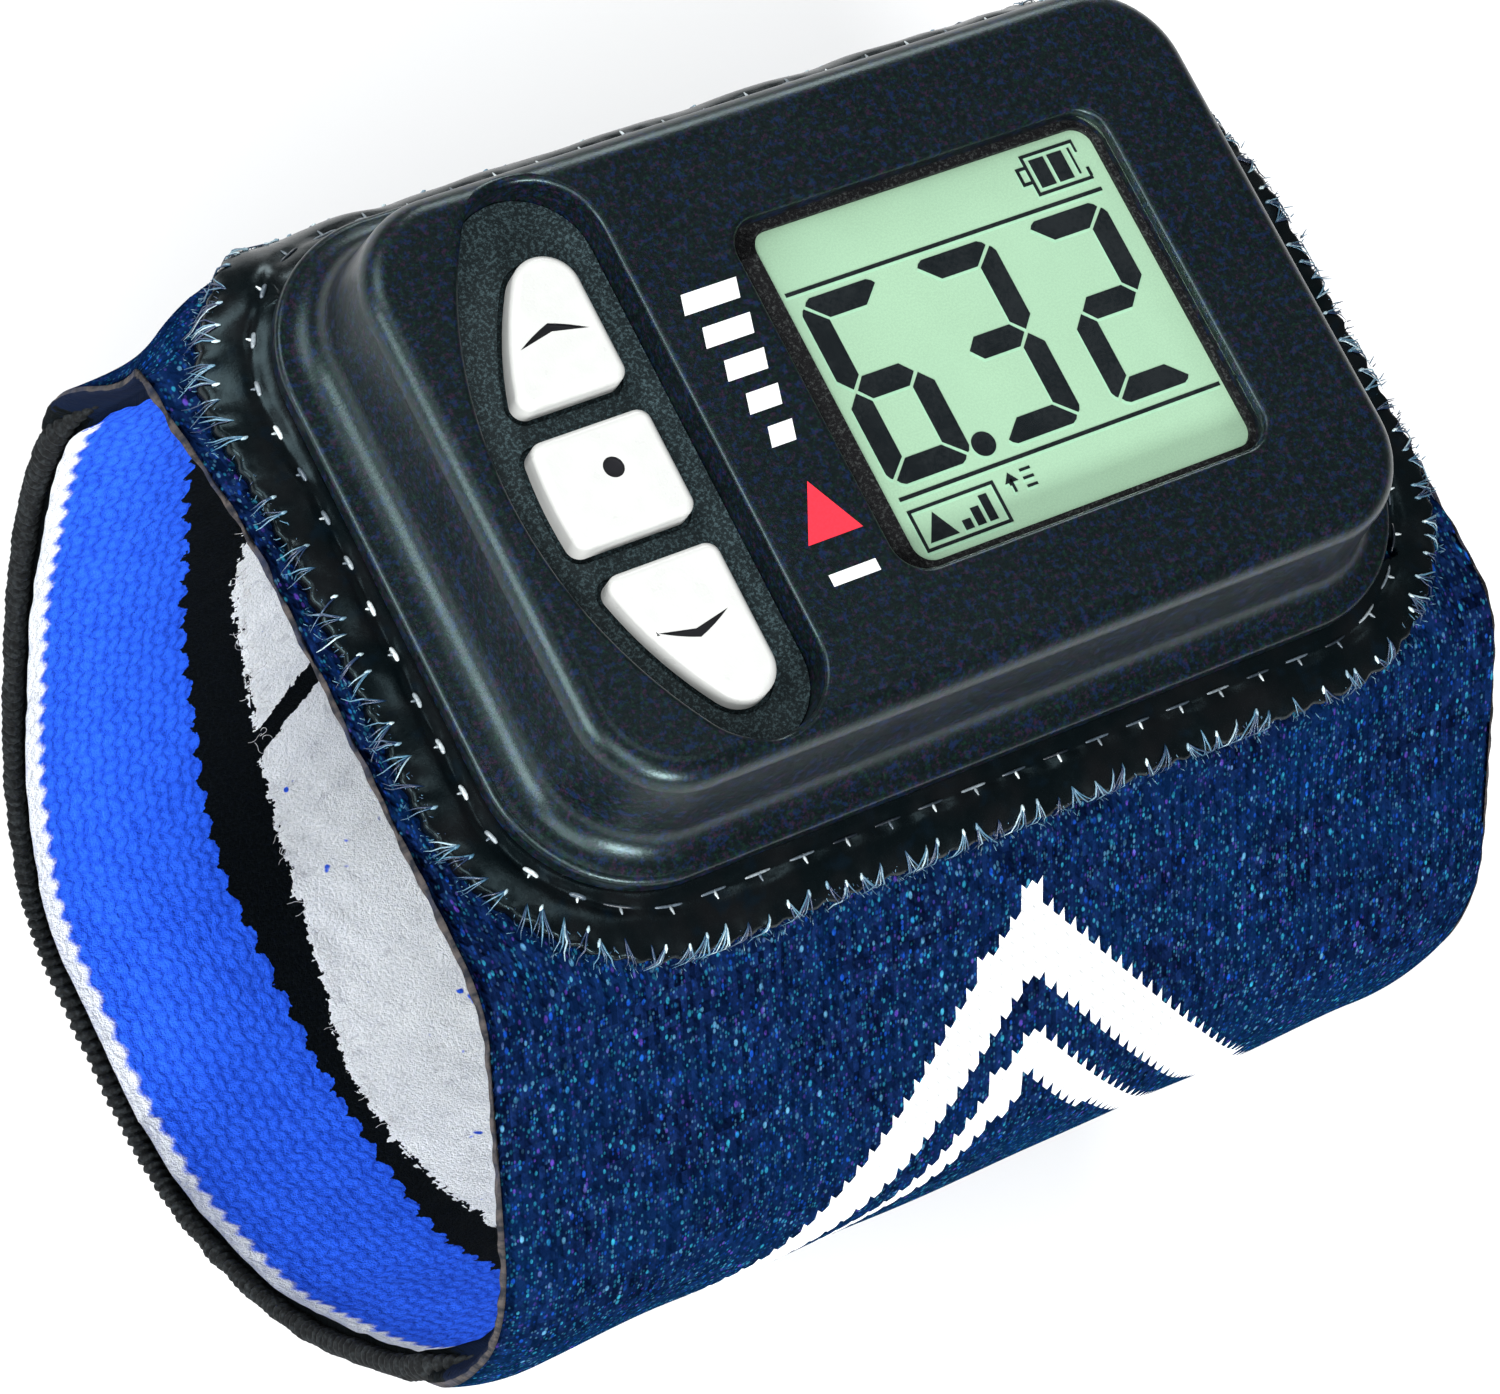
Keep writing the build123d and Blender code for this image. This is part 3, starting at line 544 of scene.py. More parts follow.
def rim_lip():
    """Turned edge of the outer knit: grey-brown yarn ends among the navy."""
    m = Shade("rim_lip", rough=0.8, Specular_IOR_Level=0.15)
    cloth = m.attribute("cloth", "Vector")
    x, s, _ = m.split(cloth)
    yarn = m.noise(m.point(x * 2.0, s * 1.1), 1.0, 3.0, 0.7)
    base = m.patch((0.008, 0.010, 0.015), yarn, 0.35, 0.65, 1.0, (0.06, 0.052, 0.05))
    base = m.patch(base, m.noise(cloth, 0.4), 0.5, 0.75, 0.7, (0.012, 0.02, 0.05))
    return m.surface(base, yarn * 0.1)


def flange_gloss():
    """Glossy black sheet with a soft leather-like grain."""
    m = Shade("flange_gloss", rough=0.26, Specular_IOR_Level=0.24, Specular_Tint=(0.6, 0.9, 1.0))
    where = m.place()
    grain = m.noise(where, 2.2, 3.0, 0.6)
    cloud = m.noise(where, 0.3)
    base = m.patch((0.0006, 0.0015, 0.002), cloud, 0.35, 0.7, 1.0, (0.0035, 0.0035, 0.004))
    base = m.patch(base, m.noise(where, 0.8), 0.55, 0.75, 0.6, (0.001, 0.004, 0.008))
    return m.surface(base, grain * 0.012, m.ramp(grain, 0.3, 0.7, 0.24, 0.30))


def thread(name, dark, mid, pale, rough=0.35):
    """Shiny sewing thread, each length of it in its own tone."""
    m = Shade(name, rough=rough, Specular_IOR_Level=0.7)
    tone = m.attribute("tone", "Fac")
    color = m.patch(dark, tone, 0.0, 0.5, 1.0, mid)
    color = m.patch(color, tone, 0.5, 1.0, 1.0, pale)
    twist = m.noise(m.place(), 6.0)
    return m.surface(m.patch(color, twist, 0.35, 0.65, 0.35, dark), twist * 0.02)


def printed(name, color):
    return speckled(name, tuple(c * 0.88 for c in color), color, 0.5, 0.006)


# -------------------------------------------------------------- mesh building
def make_piece(name, points, faces, materials, body="case", chosen=None,
               corner_cloth=None, tones=None, flat=False):
    """A mesh piece from points in millimetres, riding on a CAD body."""
    mesh = bpy.data.meshes.new(name)
    mesh.from_pydata((np.asarray(points) * MM).tolist(), [], faces)
    for material in materials:
        mesh.materials.append(material.mat)
    if chosen is not None:
        mesh.polygons.foreach_set("material_index", np.asarray(chosen, np.int32))
    mesh.polygons.foreach_set("use_smooth", [not flat] * len(mesh.polygons))
    if corner_cloth is not None:
        layer = mesh.attributes.new("cloth", "FLOAT_VECTOR", "CORNER")
        layer.data.foreach_set("vector", np.asarray(corner_cloth, np.float32).ravel())
    if tones is not None:
        layer = mesh.attributes.new("tone", "FLOAT", "POINT")
        layer.data.foreach_set("value", np.asarray(tones, np.float32))
    mesh.update()
    piece = bpy.data.objects.new(name, mesh)
    bpy.context.scene.collection.objects.link(piece)
    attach(piece, body)
    return piece


def grid_faces(rings, sides, first=0, closed=False):
    """Quads between closed rings of points; closed joins the last ring to the first."""
    faces = []
    for i in range(rings if closed else rings - 1):
        a, b = first + i * sides, first + (i + 1) % rings * sides
        for k in range(sides):
            n = (k + 1) % sides
            faces.append((a + k, a + n, b + n, b + k))
    return faces


class Tubes:
    """Many short tubes gathered into one mesh."""

    def __init__(self):
        self.points, self.faces, self.tones, self.count = [], [], [], 0

    def add(self, line, radii, tone=0.5, sides=6):
        line = np.asarray(line, float)
        radii = np.broadcast_to(np.asarray(radii, float), len(line))
        ahead = np.gradient(line, axis=0)
        ahead /= np.linalg.norm(ahead, axis=1, keepdims=True) + 1e-9
        helper = (0.0, 0.0, 1.0) if abs(ahead[0][2]) < 0.8 else (1.0, 0.0, 0.0)
        side = np.cross(ahead, helper)
        side /= np.linalg.norm(side, axis=1, keepdims=True) + 1e-9
        up = np.cross(side, ahead)
        angles = (np.arange(sides) * 2 * math.pi / sides)[None, :, None]
        ring = side[:, None] * np.cos(angles) + up[:, None] * np.sin(angles)
        self.points.append((line[:, None] + ring * radii[:, None, None]).reshape(-1, 3))
        first, last = self.count, self.count + (len(line) - 1) * sides
        self.faces += grid_faces(len(line), sides, first)
        self.faces += [tuple(range(first, first + sides))[::-1], tuple(range(last, last + sides))]
        self.count += len(line) * sides
        self.tones += [tone] * (len(line) * sides)

    def piece(self, name, material, slot=None):
        points = np.concatenate(self.points)
        return make_piece(name, points, self.faces, [material], tones=self.tones)


def plates(name, outlines, low, high, material):
    """Flat printed shapes: each outline raised between two heights."""
    points, faces = [], []
    for outline in outlines:
        first, n = len(points), len(outline)
        points += [(x, y, low) for x, y in outline] + [(x, y, high) for x, y in outline]
        faces += [tuple(range(first + n, first + 2 * n)), tuple(range(first, first + n))[::-1]]
        faces += grid_faces(2, n, first)
    return make_piece(name, points, faces, [material], flat=True)


# ------------------------------------------------------------------- the band
ROWS = 384                          # round the loop
COLUMNS = 122                       # across it
FACE_HALF = BAND_HALF - 0.70         # of the width, without the rims
HOLE_HALF = (28.85, 18.85)
HOLE_CORNER = 6.85
RIM_WAVES = 95                       # small waves along each rim


def outline_distance(x, y, half, radius):
    """Signed distance from a rounded rectangle, negative inside it."""
    qx, qy = np.abs(x) - (half[0] - radius), np.abs(y) - (half[1] - radius)
    outside = np.hypot(np.maximum(qx, 0), np.maximum(qy, 0))
    return outside + np.minimum(np.maximum(qx, qy), 0) - radius


def hole_distance(x, y):
    return outline_distance(x, y, HOLE_HALF, HOLE_CORNER)


FLANGE_X = (flange_low[0], flange_high[0])
FLANGE_S = (-24.5, 24.0)            # round the loop, from above the housing's centre
FLANGE_CORNER = 12.5
FLANGE_MIDDLE = np.array([np.mean(FLANGE_X), np.mean(FLANGE_S)])
FLANGE_HALF = np.array([np.ptp(FLANGE_X), np.ptp(FLANGE_S)]) / 2


def flange_distance(x, s):
    """Distance outside the flange's outline, in the band's flat x and s."""
    return outline_distance(x - FLANGE_MIDDLE[0], s - FLANGE_MIDDLE[1], FLANGE_HALF, FLANGE_CORNER)


def make_band():
    """The knit as one closed cloth: outer face, inner face, rims and hole."""
    s_rows = np.arange(ROWS) * ROUND / ROWS
    columns = np.linspace(-FACE_HALF, FACE_HALF, COLUMNS + 1)
    grid_x, grid_s = np.meshgrid(columns, s_rows)
    near_s = from_top(grid_s)

    # The hole for the housing's tub, its rim moved onto the hole's outline.
    at_x, at_y = grid_x - HX, -near_s
    inside = (hole_distance(at_x, at_y) < -0.02) & (np.abs(near_s) < 30)
    both = inside & np.roll(inside, -1, 0)
    keep = ~(both[:, :-1] & both[:, 1:])
    shifts = [(i, j) for i in (-1, 0, 1) for j in (-1, 0, 1)]
    border = inside & ~np.all([np.roll(inside, shift, (0, 1)) for shift in shifts], 0)
    e = 0.01
    for _ in range(6):
        here = hole_distance(at_x, at_y)
        gx = (hole_distance(at_x + e, at_y) - here) / e
        gy = (hole_distance(at_x, at_y + e) - here) / e
        size = np.hypot(gx, gy) + 1e-6
        at_x = np.where(border, at_x - here * gx / size, at_x)
        at_y = np.where(border, at_y - here * gy / size, at_y)
    grid_x = at_x + HX
    grid_s = np.where(border, -at_y % ROUND, grid_s)
    near_s = from_top(grid_s)

    edge = flange_distance(grid_x, near_s)
    ripple = wave_noise(grid_x, near_s, 3, 14.0) * 0.16 * smooth(edge, 0.2, 3.0)
    pucker = 0.13 * wave_noise(grid_x, near_s, 5, 2.6)
    pucker = pucker * smooth(edge, 4.5, 0.5) * smooth(edge, -0.5, 0.3)
    outer = on_band(rolled(grid_x, grid_s, 0.0), grid_s, np.minimum(ripple + pucker, 0.25))
    terry = wave_noise(grid_x, near_s, 9, 3.0) * 0.07 + wave_noise(grid_x, near_s, 11, 17.0) * 0.12
    terry *= smooth(hole_distance(at_x, at_y), 0.0, 4.0)
    inner = on_band(rolled(grid_x, grid_s, 1.0), grid_s, -BAND_THICK + terry)

    # The rims: a rounded lip, then a step back to the inner face.
    rim_profile = [
        (0.20, -0.04), (0.42, -0.16), (0.55, -0.40), (0.50, -0.68), (0.30, -0.92), (0.0, -1.25),
        (-0.5, -1.8),
    ]
    wobble = 0.05 * np.sin(s_rows * 2 * math.pi / (ROUND / RIM_WAVES))
    wobble = wobble + 0.05 * wave_noise(s_rows, 0 * s_rows, 21, 4.0)
    points = [outer.reshape(-1, 3), inner.reshape(-1, 3)]
    width = COLUMNS + 1
    total = ROWS * width
    rim_first = {}
    for side in (-1, 1):
        for k, (out, lift) in enumerate(rim_profile):
            rim_first[side, k] = 2 * total + (len(points) - 2) * ROWS
            x = rolled(side * (FACE_HALF + out + wobble * (out > 0)), s_rows, -lift / 1.8)
            points.append(on_band(x, s_rows, lift))
    points = np.concatenate(points)
    faces, chosen, cloth = [], [], []

    def add_face(ids, material, marks, depth):
        """A face, its material, and its corners' places on the flat cloth."""
        faces.append(tuple(ids))
        chosen.append(material)
        cloth.extend((x, s, depth) for x, s in marks)

    def unwrapped(places):
        """Grid places' s values, brought to the same side of the seam."""
        values = [near_s[place] for place in places]
        return [v + ROUND * round((values[0] - v) / ROUND) for v in values]

    def wall(a, b, turned):
        """One face of the hole's wall, from the outer face to the inner one."""
        a, b = (b, a) if turned else (a, b)
        ia, ib = a[0] * width + a[1], b[0] * width + b[1]
        marks = [(grid_x[c], near_s[c]) for c in (a, b, b, a)]
        add_face((ia, ib, total + ib, total + ia), 1, marks, 0.7)

    for i in range(ROWS):
        n = (i + 1) % ROWS
        for j in range(COLUMNS):
            if keep[i, j]:
                cells = ((i, j), (i, j + 1), (n, j + 1), (n, j))
                marks = [(grid_x[c], s) for c, s in zip(cells, unwrapped(cells))]
                ids = [a * width + b for a, b in cells]
                add_face(ids, 0, marks, 0.0)
                add_face([total + v for v in ids[::-1]], 1, marks[::-1], 1.0)

    # The hole's wall.
    for i in range(ROWS):
        for j in range(COLUMNS):
            if keep[i - 1, j] != keep[i, j]:
                wall((i, j), (i, j + 1), keep[i, j])
            if j and keep[i, j - 1] != keep[i, j]:
                wall((i, j), ((i + 1) % ROWS, j), keep[i, j - 1])

    # The rims, joined to both faces.
    for side, end in ((-1, 0), (1, COLUMNS)):
        for i in range(ROWS):
            n = (i + 1) % ROWS
            s0, s1 = unwrapped([(i, end), (n, end)])
            strip = [(i * width + end, n * width + end)]
            for k in range(len(rim_profile)):
                strip.append((rim_first[side, k] + i, rim_first[side, k] + n))
            strip.append((total + i * width + end, total + n * width + end))
            for k, ((a, b), (c, d)) in enumerate(zip(strip, strip[1:])):
                quad = (a, b, d, c) if side > 0 else (a, c, d, b)
                s_quad = (s0, s1, s1, s0) if side > 0 else (s0, s0, s1, s1)
                marks = [(side * (FACE_HALF + k * 0.1), s) for s in s_quad]
                add_face(quad, 2 if k < 2 else 1, marks, 0.5)

    used = np.unique([v for f in faces for v in f])
    renumber = np.full(len(points), -1)
    renumber[used] = np.arange(len(used))
    faces = [tuple(int(renumber[v]) for v in f) for f in faces]
    return make_piece(
        "band_cloth", points[used], faces, [knit_outside(), knit_inside(), rim_lip()],
        chosen=chosen, corner_cloth=cloth,
    )


CORD_RADIUS, CORD_RIBS, CORD_LIFT = 0.66, 255, -1.25


def make_cord(name, side):
    """The corded selvedge: a tube with slanting ribs, thin where the rim rolls."""
    per_rib, sides = 8, 12
    rings = CORD_RIBS * per_rib
    s = np.arange(rings) * ROUND / rings
    centre_x = rolled(side * (BAND_HALF - CORD_RADIUS + 0.10) + 0 * s, s, 1.0)[:, None]
    angles = (np.arange(sides) * 2 * math.pi / sides)[None, :]
    phase = s[:, None] * CORD_RIBS / ROUND + np.sin(angles) * 0.22 * side
    rib = np.abs(np.sin(math.pi * phase)) ** 0.6
    uneven = 1 + 0.05 * wave_noise(s, 0 * s, 31 + side, 2.3)[:, None]
    near, far = (share[:, None] for share in roll_shares(s))
    radius = (CORD_RADIUS - 0.28 + 0.44 * rib) * uneven * (1 - 0.88 * near)
    lift = CORD_LIFT + 0.5 * far + np.sin(angles) * radius * 1.05
    points = on_band(centre_x + np.cos(angles) * radius, s[:, None], lift).reshape(-1, 3)
    faces = [quad[::-1] for quad in grid_faces(rings, sides, closed=True)]
    black = speckled(
        "selvedge_cord", (0.0008, 0.0015, 0.002), (0.016, 0.020, 0.022), 0.72, 0.08,
        (3.0, 3.0, 0.7), (0.4, 0.75), Specular_IOR_Level=0.15)
    return make_piece(name, points, faces, [black])


FIBRES, FIBRE_STEP, FIBRE_RADIUS = 150, 0.14, 0.016


def make_fibres():
    """Loose curled fibres along the pale field's ragged edge."""
    tubes = Tubes()
    for _ in range(FIBRES):
        s = rng.uniform(ROUND * 0.45, ROUND * 0.83)
        edge = np.interp(s / ROUND, *zip(*DARK_EDGE)) * EDGE_UNIT
        x = -(BAND_HALF - edge - 0.5)
        heading = math.pi + rng.normal(0, 0.7)
        bend = rng.normal(0, 0.5)
        line = []
        for k in range(11):
            line.append((x, s, -BAND_THICK - 0.16 - 0.25 * math.sin(k / 10 * math.pi)))
            bend = 0.8 * bend + rng.normal(0, 0.35)
            heading += bend
            x += FIBRE_STEP * math.cos(heading)
            s += FIBRE_STEP * math.sin(heading)
        tubes.add(on_band(*np.array(line).T), FIBRE_RADIUS, rng.uniform(0.0, 0.8), 4)
    fibre = thread(
        "loose_fibre", (0.45, 0.45, 0.45), (0.68, 0.68, 0.67), (0.85, 0.85, 0.83), 0.7)
    return tubes.piece("loose_fibres", fibre, "band_knit")


band = make_band()
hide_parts("elastic_band")
cords = [make_cord("selvedge_cord_keys_side", -1), make_cord("selvedge_cord_far_side", 1)]
fibres = make_fibres()

# ------------------------------------------------------------------ the flange
STITCH_PITCH = 1.27
RUN_PITCH = 2.8
SKIRT_CORNER = 8.5
RUN_OUT = 0.75                       # running stitch outside the housing's skirt
OPENING_HALF = np.array([27.7, 17.7])    # of the flange, round the tub
SCALLOPS = 150                       # shallow waves round the flange's rim
SKIPPED = 0.08                       # share of overlock stitches left out
FUZZ = 1500                          # short fibres along the flange's edge


def rounded_outline(middle, half, radius, count):
    """Evenly spaced points and outward directions round a rounded rectangle."""
    cx, cy = half[0] - radius, half[1] - radius
    sides = [2 * cy, math.pi / 2 * radius, 2 * cx, math.pi / 2 * radius] * 2
    total = sum(sides)
    marks = np.arange(count) * total / count
    starts = np.r_[0, np.cumsum(sides)]
    points, outward = [], []
    corners = [(cx, -cy), (cx, cy), (-cx, cy), (-cx, -cy)]
    for mark in marks:
        k = int(np.searchsorted(starts, mark, "right") - 1)
        along = mark - starts[k]
        quarter, is_arc = k // 2, k % 2
        base = quarter * math.pi / 2
        c = corners[(quarter + 1) % 4] if is_arc else corners[quarter]
        a = base + (along / radius if is_arc else 0.0)
        n = np.array([math.cos(a), math.sin(a)])
        p = np.array(c) + n * radius
        if not is_arc:
            p = p + np.array([-math.sin(base), math.cos(base)]) * along
        points.append(p + middle)
        outward.append(n)
    return np.array(points), np.array(outward), total


FLANGE_TOP = 0.95


def flange_lift(x, s):
    """Height of the flange's upper face over the band, with its puckers."""
    edge = -flange_distance(x, s)
    skirt = outline_distance(x - SKIRT_MIDDLE, -s, SKIRT_HALF, SKIRT_CORNER)
    groove = 0.26 * np.exp(-((skirt - RUN_OUT) / 0.34) ** 2)
    around = np.arctan2(s - FLANGE_MIDDLE[1], x - FLANGE_MIDDLE[0]) * 34
    tuck = 0.5 + 0.5 * np.cos(around * 2 * math.pi / RUN_PITCH)
    pull = 0.16 * np.exp(-(edge / 0.9) ** 2) * (0.6 + 0.4 * wave_noise(x, s, 41, 1.7))
    waves = wave_noise(x, s, 43, 5.5) * 0.09 * smooth(skirt, 0.0, 1.2)
    return FLANGE_TOP - groove * (0.55 + 0.45 * tuck) - pull + waves


def make_flange():
    count = 840
    outer, outward, _ = rounded_outline(FLANGE_MIDDLE, FLANGE_HALF, FLANGE_CORNER, count)
    # Each outer point is joined to the nearest point of the opening.
    opening = np.array([HX, 0.0])
    inner = opening + np.clip(outer - opening, -OPENING_HALF, OPENING_HALF)
    rows = [(0.0, 0.05), (0.0, 0.30), (0.03, 0.62)]
    points = []
    scallop = 0.10 * np.sin(np.arange(count) * 2 * math.pi * SCALLOPS / count)
    rim = outer + outward * scallop[:, None]
    for inset, lift in rows:
        p = rim - outward * inset
        points.append(on_band(p[:, 0], p[:, 1], lift))
    reach = np.linalg.norm(outer - inner, axis=1)
    steps = [0.14, 0.32, 0.55, 0.85, 1.2, 1.6, 2.0, 2.3, 2.6, 2.85, 3.1, 3.4, 3.8, 4.6, 5.6, 6.8]
    for step in steps:
        t = np.minimum(step, reach - 0.3) / reach
        p = rim + (inner - rim) * t[:, None]
        lift = flange_lift(p[:, 0], p[:, 1]) * (1 - 0.10 * math.exp(-step / 0.15))
        points.append(on_band(p[:, 0], p[:, 1], lift))
    under = points[-1].copy()
    under[:, 2] -= FLANGE_TOP * 0.9
    points.append(under)
    faces = grid_faces(len(points), count, closed=True)
    piece = make_piece("flange_sheet", np.concatenate(points), faces, [flange_gloss()])
    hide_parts("sew_in_flange")


make_flange()


def on_flange(place, above):
    """A point above the flange's upper face; place is its flat x and s."""
    return on_band(*place, float(flange_lift(*place)) + above)


def make_overlock():
    """Tufts of pale thread that wrap the flange's edge onto the band."""
    tubes = Tubes()
    _, _, length = rounded_outline(FLANGE_MIDDLE, FLANGE_HALF, FLANGE_CORNER, 8)
    count = int(length / STITCH_PITCH)
    edge, outward, _ = rounded_outline(FLANGE_MIDDLE, FLANGE_HALF, FLANGE_CORNER, count)
    for p, n in zip(edge, outward):
        if rng.uniform() < SKIPPED:
            continue
        along = np.array([-n[1], n[0]])
        p = p + along * rng.uniform(-0.35, 0.35)
        left_side = n[0] < -0.5
        inside = rng.uniform(0.75, 1.25)
        strands = rng.integers(2, 6)
        lean = rng.uniform(-0.8, 0.8)
        for k in range(strands):
            spread = (k - (strands - 1) / 2) * rng.uniform(0.22, 0.42) + lean
            out = rng.uniform(0.2, 1.0) if left_side else rng.uniform(0.1, 0.7)
            line = []
            for t in np.linspace(0, 1, 6):
                d = -inside + t * (inside + out)
                q = p + n * d + along * spread * t * (0.6 + 0.7 * t)
                if d < -0.1:
                    lift = float(flange_lift(*q)) + 0.10
                else:
                    lift = 0.98 - 0.85 * float(smooth(d, -0.1, 0.55))
                line.append(on_band(*q, lift + (0.0 if t else -0.12)))
            thick = rng.uniform(0.5, 1.0)
            radii = [thick * r for r in (0.035, 0.06, 0.068, 0.06, 0.05, 0.02)]
            tubes.add(line, radii, rng.uniform(0, 0.9) ** 2, 5)
        # The needle hole's bright loop.
        q0, q1 = p - n * inside, p - n * (inside - 0.42)
        dot = [on_flange(q, 0.07) for q in (q0, (q0 + q1) / 2, q1)]
        if rng.uniform() < 0.6:
            tubes.add(dot, [0.05, 0.11, 0.05], rng.uniform(0.5, 1.0), 6)
    # A fuzz of short fibres beside the tufts.
    for _ in range(FUZZ):
        k = rng.integers(len(edge))
        n, along = outward[k], np.array([-outward[k][1], outward[k][0]])
        q = edge[k] + along * rng.uniform(-0.7, 0.7) + n * rng.uniform(-0.8, 0.7)
        direction = n * rng.uniform(0.3, 1) + along * rng.uniform(-0.7, 0.7)
        size = rng.uniform(0.15, 0.55)
        line = []
        for i, t in enumerate((0, 0.5, 1)):
            e = q + direction * size * t
            step_up = 0.5 * float(smooth(-flange_distance(*e), -0.2, 0.2))
            line.append(on_band(*e, 0.16 + step_up + 0.12 * i))
        tubes.add(line, [0.035, 0.035, 0.015], rng.uniform(0, 0.6), 4)
    tint = thread(
        "overlock_thread", (0.004, 0.018, 0.06), (0.07, 0.19, 0.28), (0.62, 0.78, 0.80))
    return tubes.piece("overlock_stitches", tint, "flange")


def make_running_stitch():
    """Short stitches through the flange, close round the housing's skirt."""
    tubes = Tubes()
    half = SKIRT_HALF + RUN_OUT
    middle = np.array([SKIRT_MIDDLE, 0.0])
    _, _, length = rounded_outline(middle, half, SKIRT_CORNER + RUN_OUT, 8)
    count = int(length / RUN_PITCH)
    fine = 24
    spots, outward, _ = rounded_outline(middle, half, SKIRT_CORNER + RUN_OUT, count * fine)
    for i in range(count):
        n = outward[i * fine]
        short = n[0] < -0.6
        reach = int(fine * (0.36 if short else 0.74))
        ids = (np.arange(reach + 1) + i * fine) % len(spots)
        line, radii = [], []
        for j, q in enumerate(spots[ids]):
            t = j / reach
            dip = 0.22 * (2 * abs(t - 0.5)) ** 4
            line.append(on_flange(q, (0.10 if short else 0.06) - dip))
            radii.append((0.15 if short else 0.085) * (1 - 0.5 * (2 * abs(t - 0.5)) ** 3))
        # Stitches on the left (-X) side get brighter tones, a painted highlight, over a random tone
        # for each stitch.
        tubes.add(line, radii, rng.uniform(*((0.3, 1.0) if short else (0.0, 0.75))), 6)
        mid = spots[ids[reach // 2]]
        line = [on_flange(mid + n * d, 0.05) for d in (-0.05, 0.2, 0.42)]
        tubes.add(line, [0.07, 0.09, 0.04], rng.uniform(0.5, 1.0), 5)
    tint = thread(
        "running_thread", (0.004, 0.008, 0.014), (0.08, 0.11, 0.14), (0.66, 0.74, 0.76))
    return tubes.piece("running_stitches", tint, "flange")


make_overlock()
make_running_stitch()

# ------------------------------------------------------------ screen graphics
FILM_TOP = node_box("lcd_front_glass")[1][2]
GLYPH_LOW = FILM_TOP + 0.008
GLYPH_HIGH = GLYPH_LOW + 0.02
# Measured on the window's underside, so lower marks shift along the sight line.
SIGHT_SHIFT = np.array([0.62, 0.31]) * (PLATE_UNDER - GLYPH_HIGH)
DIGIT_HALF, DIGIT_WIDE, STROKE, CUT, SPLIT = 5.9, 5.5, 1.42, 0.75, 0.13
SHADOW_SHIFT = (-0.10, -0.17)        # of the soft shadows under the signs
LINE = 0.2                           # width of the signs' outlines
# Each digit's left edge and its lit strokes.
DIGITS = ((-10.75, "afgedc"), (-3.3, "abgcd"), (4.4, "abged"))
# Bars as x0, y0, x1, y1: two rules, a battery with two full cells, three levels
# beside a peak, and an arrow's stem with three ticks.
BARS = (
    (-11.1, 6.34, 10.32, 6.58), (-10.75, -6.74, 11.0, -6.50),
    (6.4, 7.18, 10.2, 7.18 + LINE), (6.4, 9.62, 10.05, 9.62 + LINE),
    (6.4, 7.38, 6.4 + LINE, 9.62), (5.78, 8.0, 6.4, 8.0 + LINE),
    (5.78, 8.95, 6.4, 8.95 + LINE), (5.78, 8.2, 5.78 + LINE, 8.95),
    (10.05, 7.38, 10.05 + LINE, 7.95), (9.9, 9.0, 10.05, 9.62),
    (6.85, 7.6, 7.85, 9.4), (8.1, 7.6, 9.1, 9.4), (9.5, 7.7, 9.64, 9.4),
    (-7.9, -9.5, -7.35, -8.9), (-7.1, -9.5, -6.55, -8.4), (-6.3, -9.5, -5.75, -7.9),
    (-4.05, -8.45, -3.88, -7.65), (-3.2, -8.45, -2.5, -8.28), (-3.2, -7.95, -2.5, -7.78),
    (-3.2, -7.45, -2.5, -7.28),
)
PEAK = [(-10.25, -9.5), (-8.35, -9.5), (-9.3, -7.85)]
ARROW = [(-4.4, -7.85), (-3.96, -7.25), (-3.52, -7.85)]


def segment(which):
    """A seven-segment stroke's outline; x from the digit's left, y from its middle."""
    w, h, t, c, g = DIGIT_WIDE, DIGIT_HALF, STROKE, CUT, SPLIT
    flat = [(c * 0.42 + g, h - c * 0.5), (c * 0.62 + g, h - c * 0.22), (c + g, h), (w - c - g, h),
            (w - c * 0.62 - g, h - c * 0.22), (w - c * 0.42 - g, h - c * 0.5), (w - t - g, h - t),
            (t + g, h - t)]
    tall = [(0, h - c - g), (c * 0.2, h - c * 0.62 - g), (c * 0.42 - g * 0.4, h - c * 0.5 - g),
            (t, h - t - g), (t, t / 2 + g), (t / 2, g), (0, t / 2 + g * 1.3)]
    bar = [(t / 2 + g * 1.5, 0), (t + g, t / 2), (w - t - g, t / 2), (w - t / 2 - g * 1.5, 0),
           (w - t - g, -t / 2), (t + g, -t / 2)]
    flip_x = lambda shape: [(w - x, y) for x, y in shape]
    flip_y = lambda shape: [(x, -y) for x, y in shape]
    return {
        "a": flat, "d": flip_y(flat), "f": tall, "e": flip_y(tall), "b": flip_x(tall),
        "c": flip_x(flip_y(tall)), "g": bar,
    }[which]


def block(x0, y0, x1, y1):
    return [(x0, y0), (x1, y0), (x1, y1), (x0, y1)]


def frame_lines(x0, y0, x1, y1, t):
    """A rectangle drawn as four thin bars."""
    return [block(x0, y0, x1, y0 + t), block(x0, y1 - t, x1, y1),
            block(x0, y0 + t, x0 + t, y1 - t), block(x1 - t, y0 + t, x1, y1 - t)]


def disc(x, y, radius, count=28):
    turns = np.arange(count) * 2 * math.pi / count
    return [(x + radius * math.cos(a), y + radius * math.sin(a)) for a in turns]


def screen_shapes(shift=(0.0, 0.0)):
    """The display's figures and signs, moved by shift."""
    shapes = [[(left + x, y) for x, y in segment(which)] for left, lit in DIGITS for which in lit]
    shapes += [disc(-4.4, -5.25, 0.74), PEAK, ARROW]
    shapes += [block(*bar) for bar in BARS] + frame_lines(-10.7, -9.95, -5.0, -7.35, LINE)
    dx, dy = np.array([SX, SY]) + SIGHT_SHIFT + shift
    return [[(x + dx, y + dy) for x, y in shape] for shape in shapes]


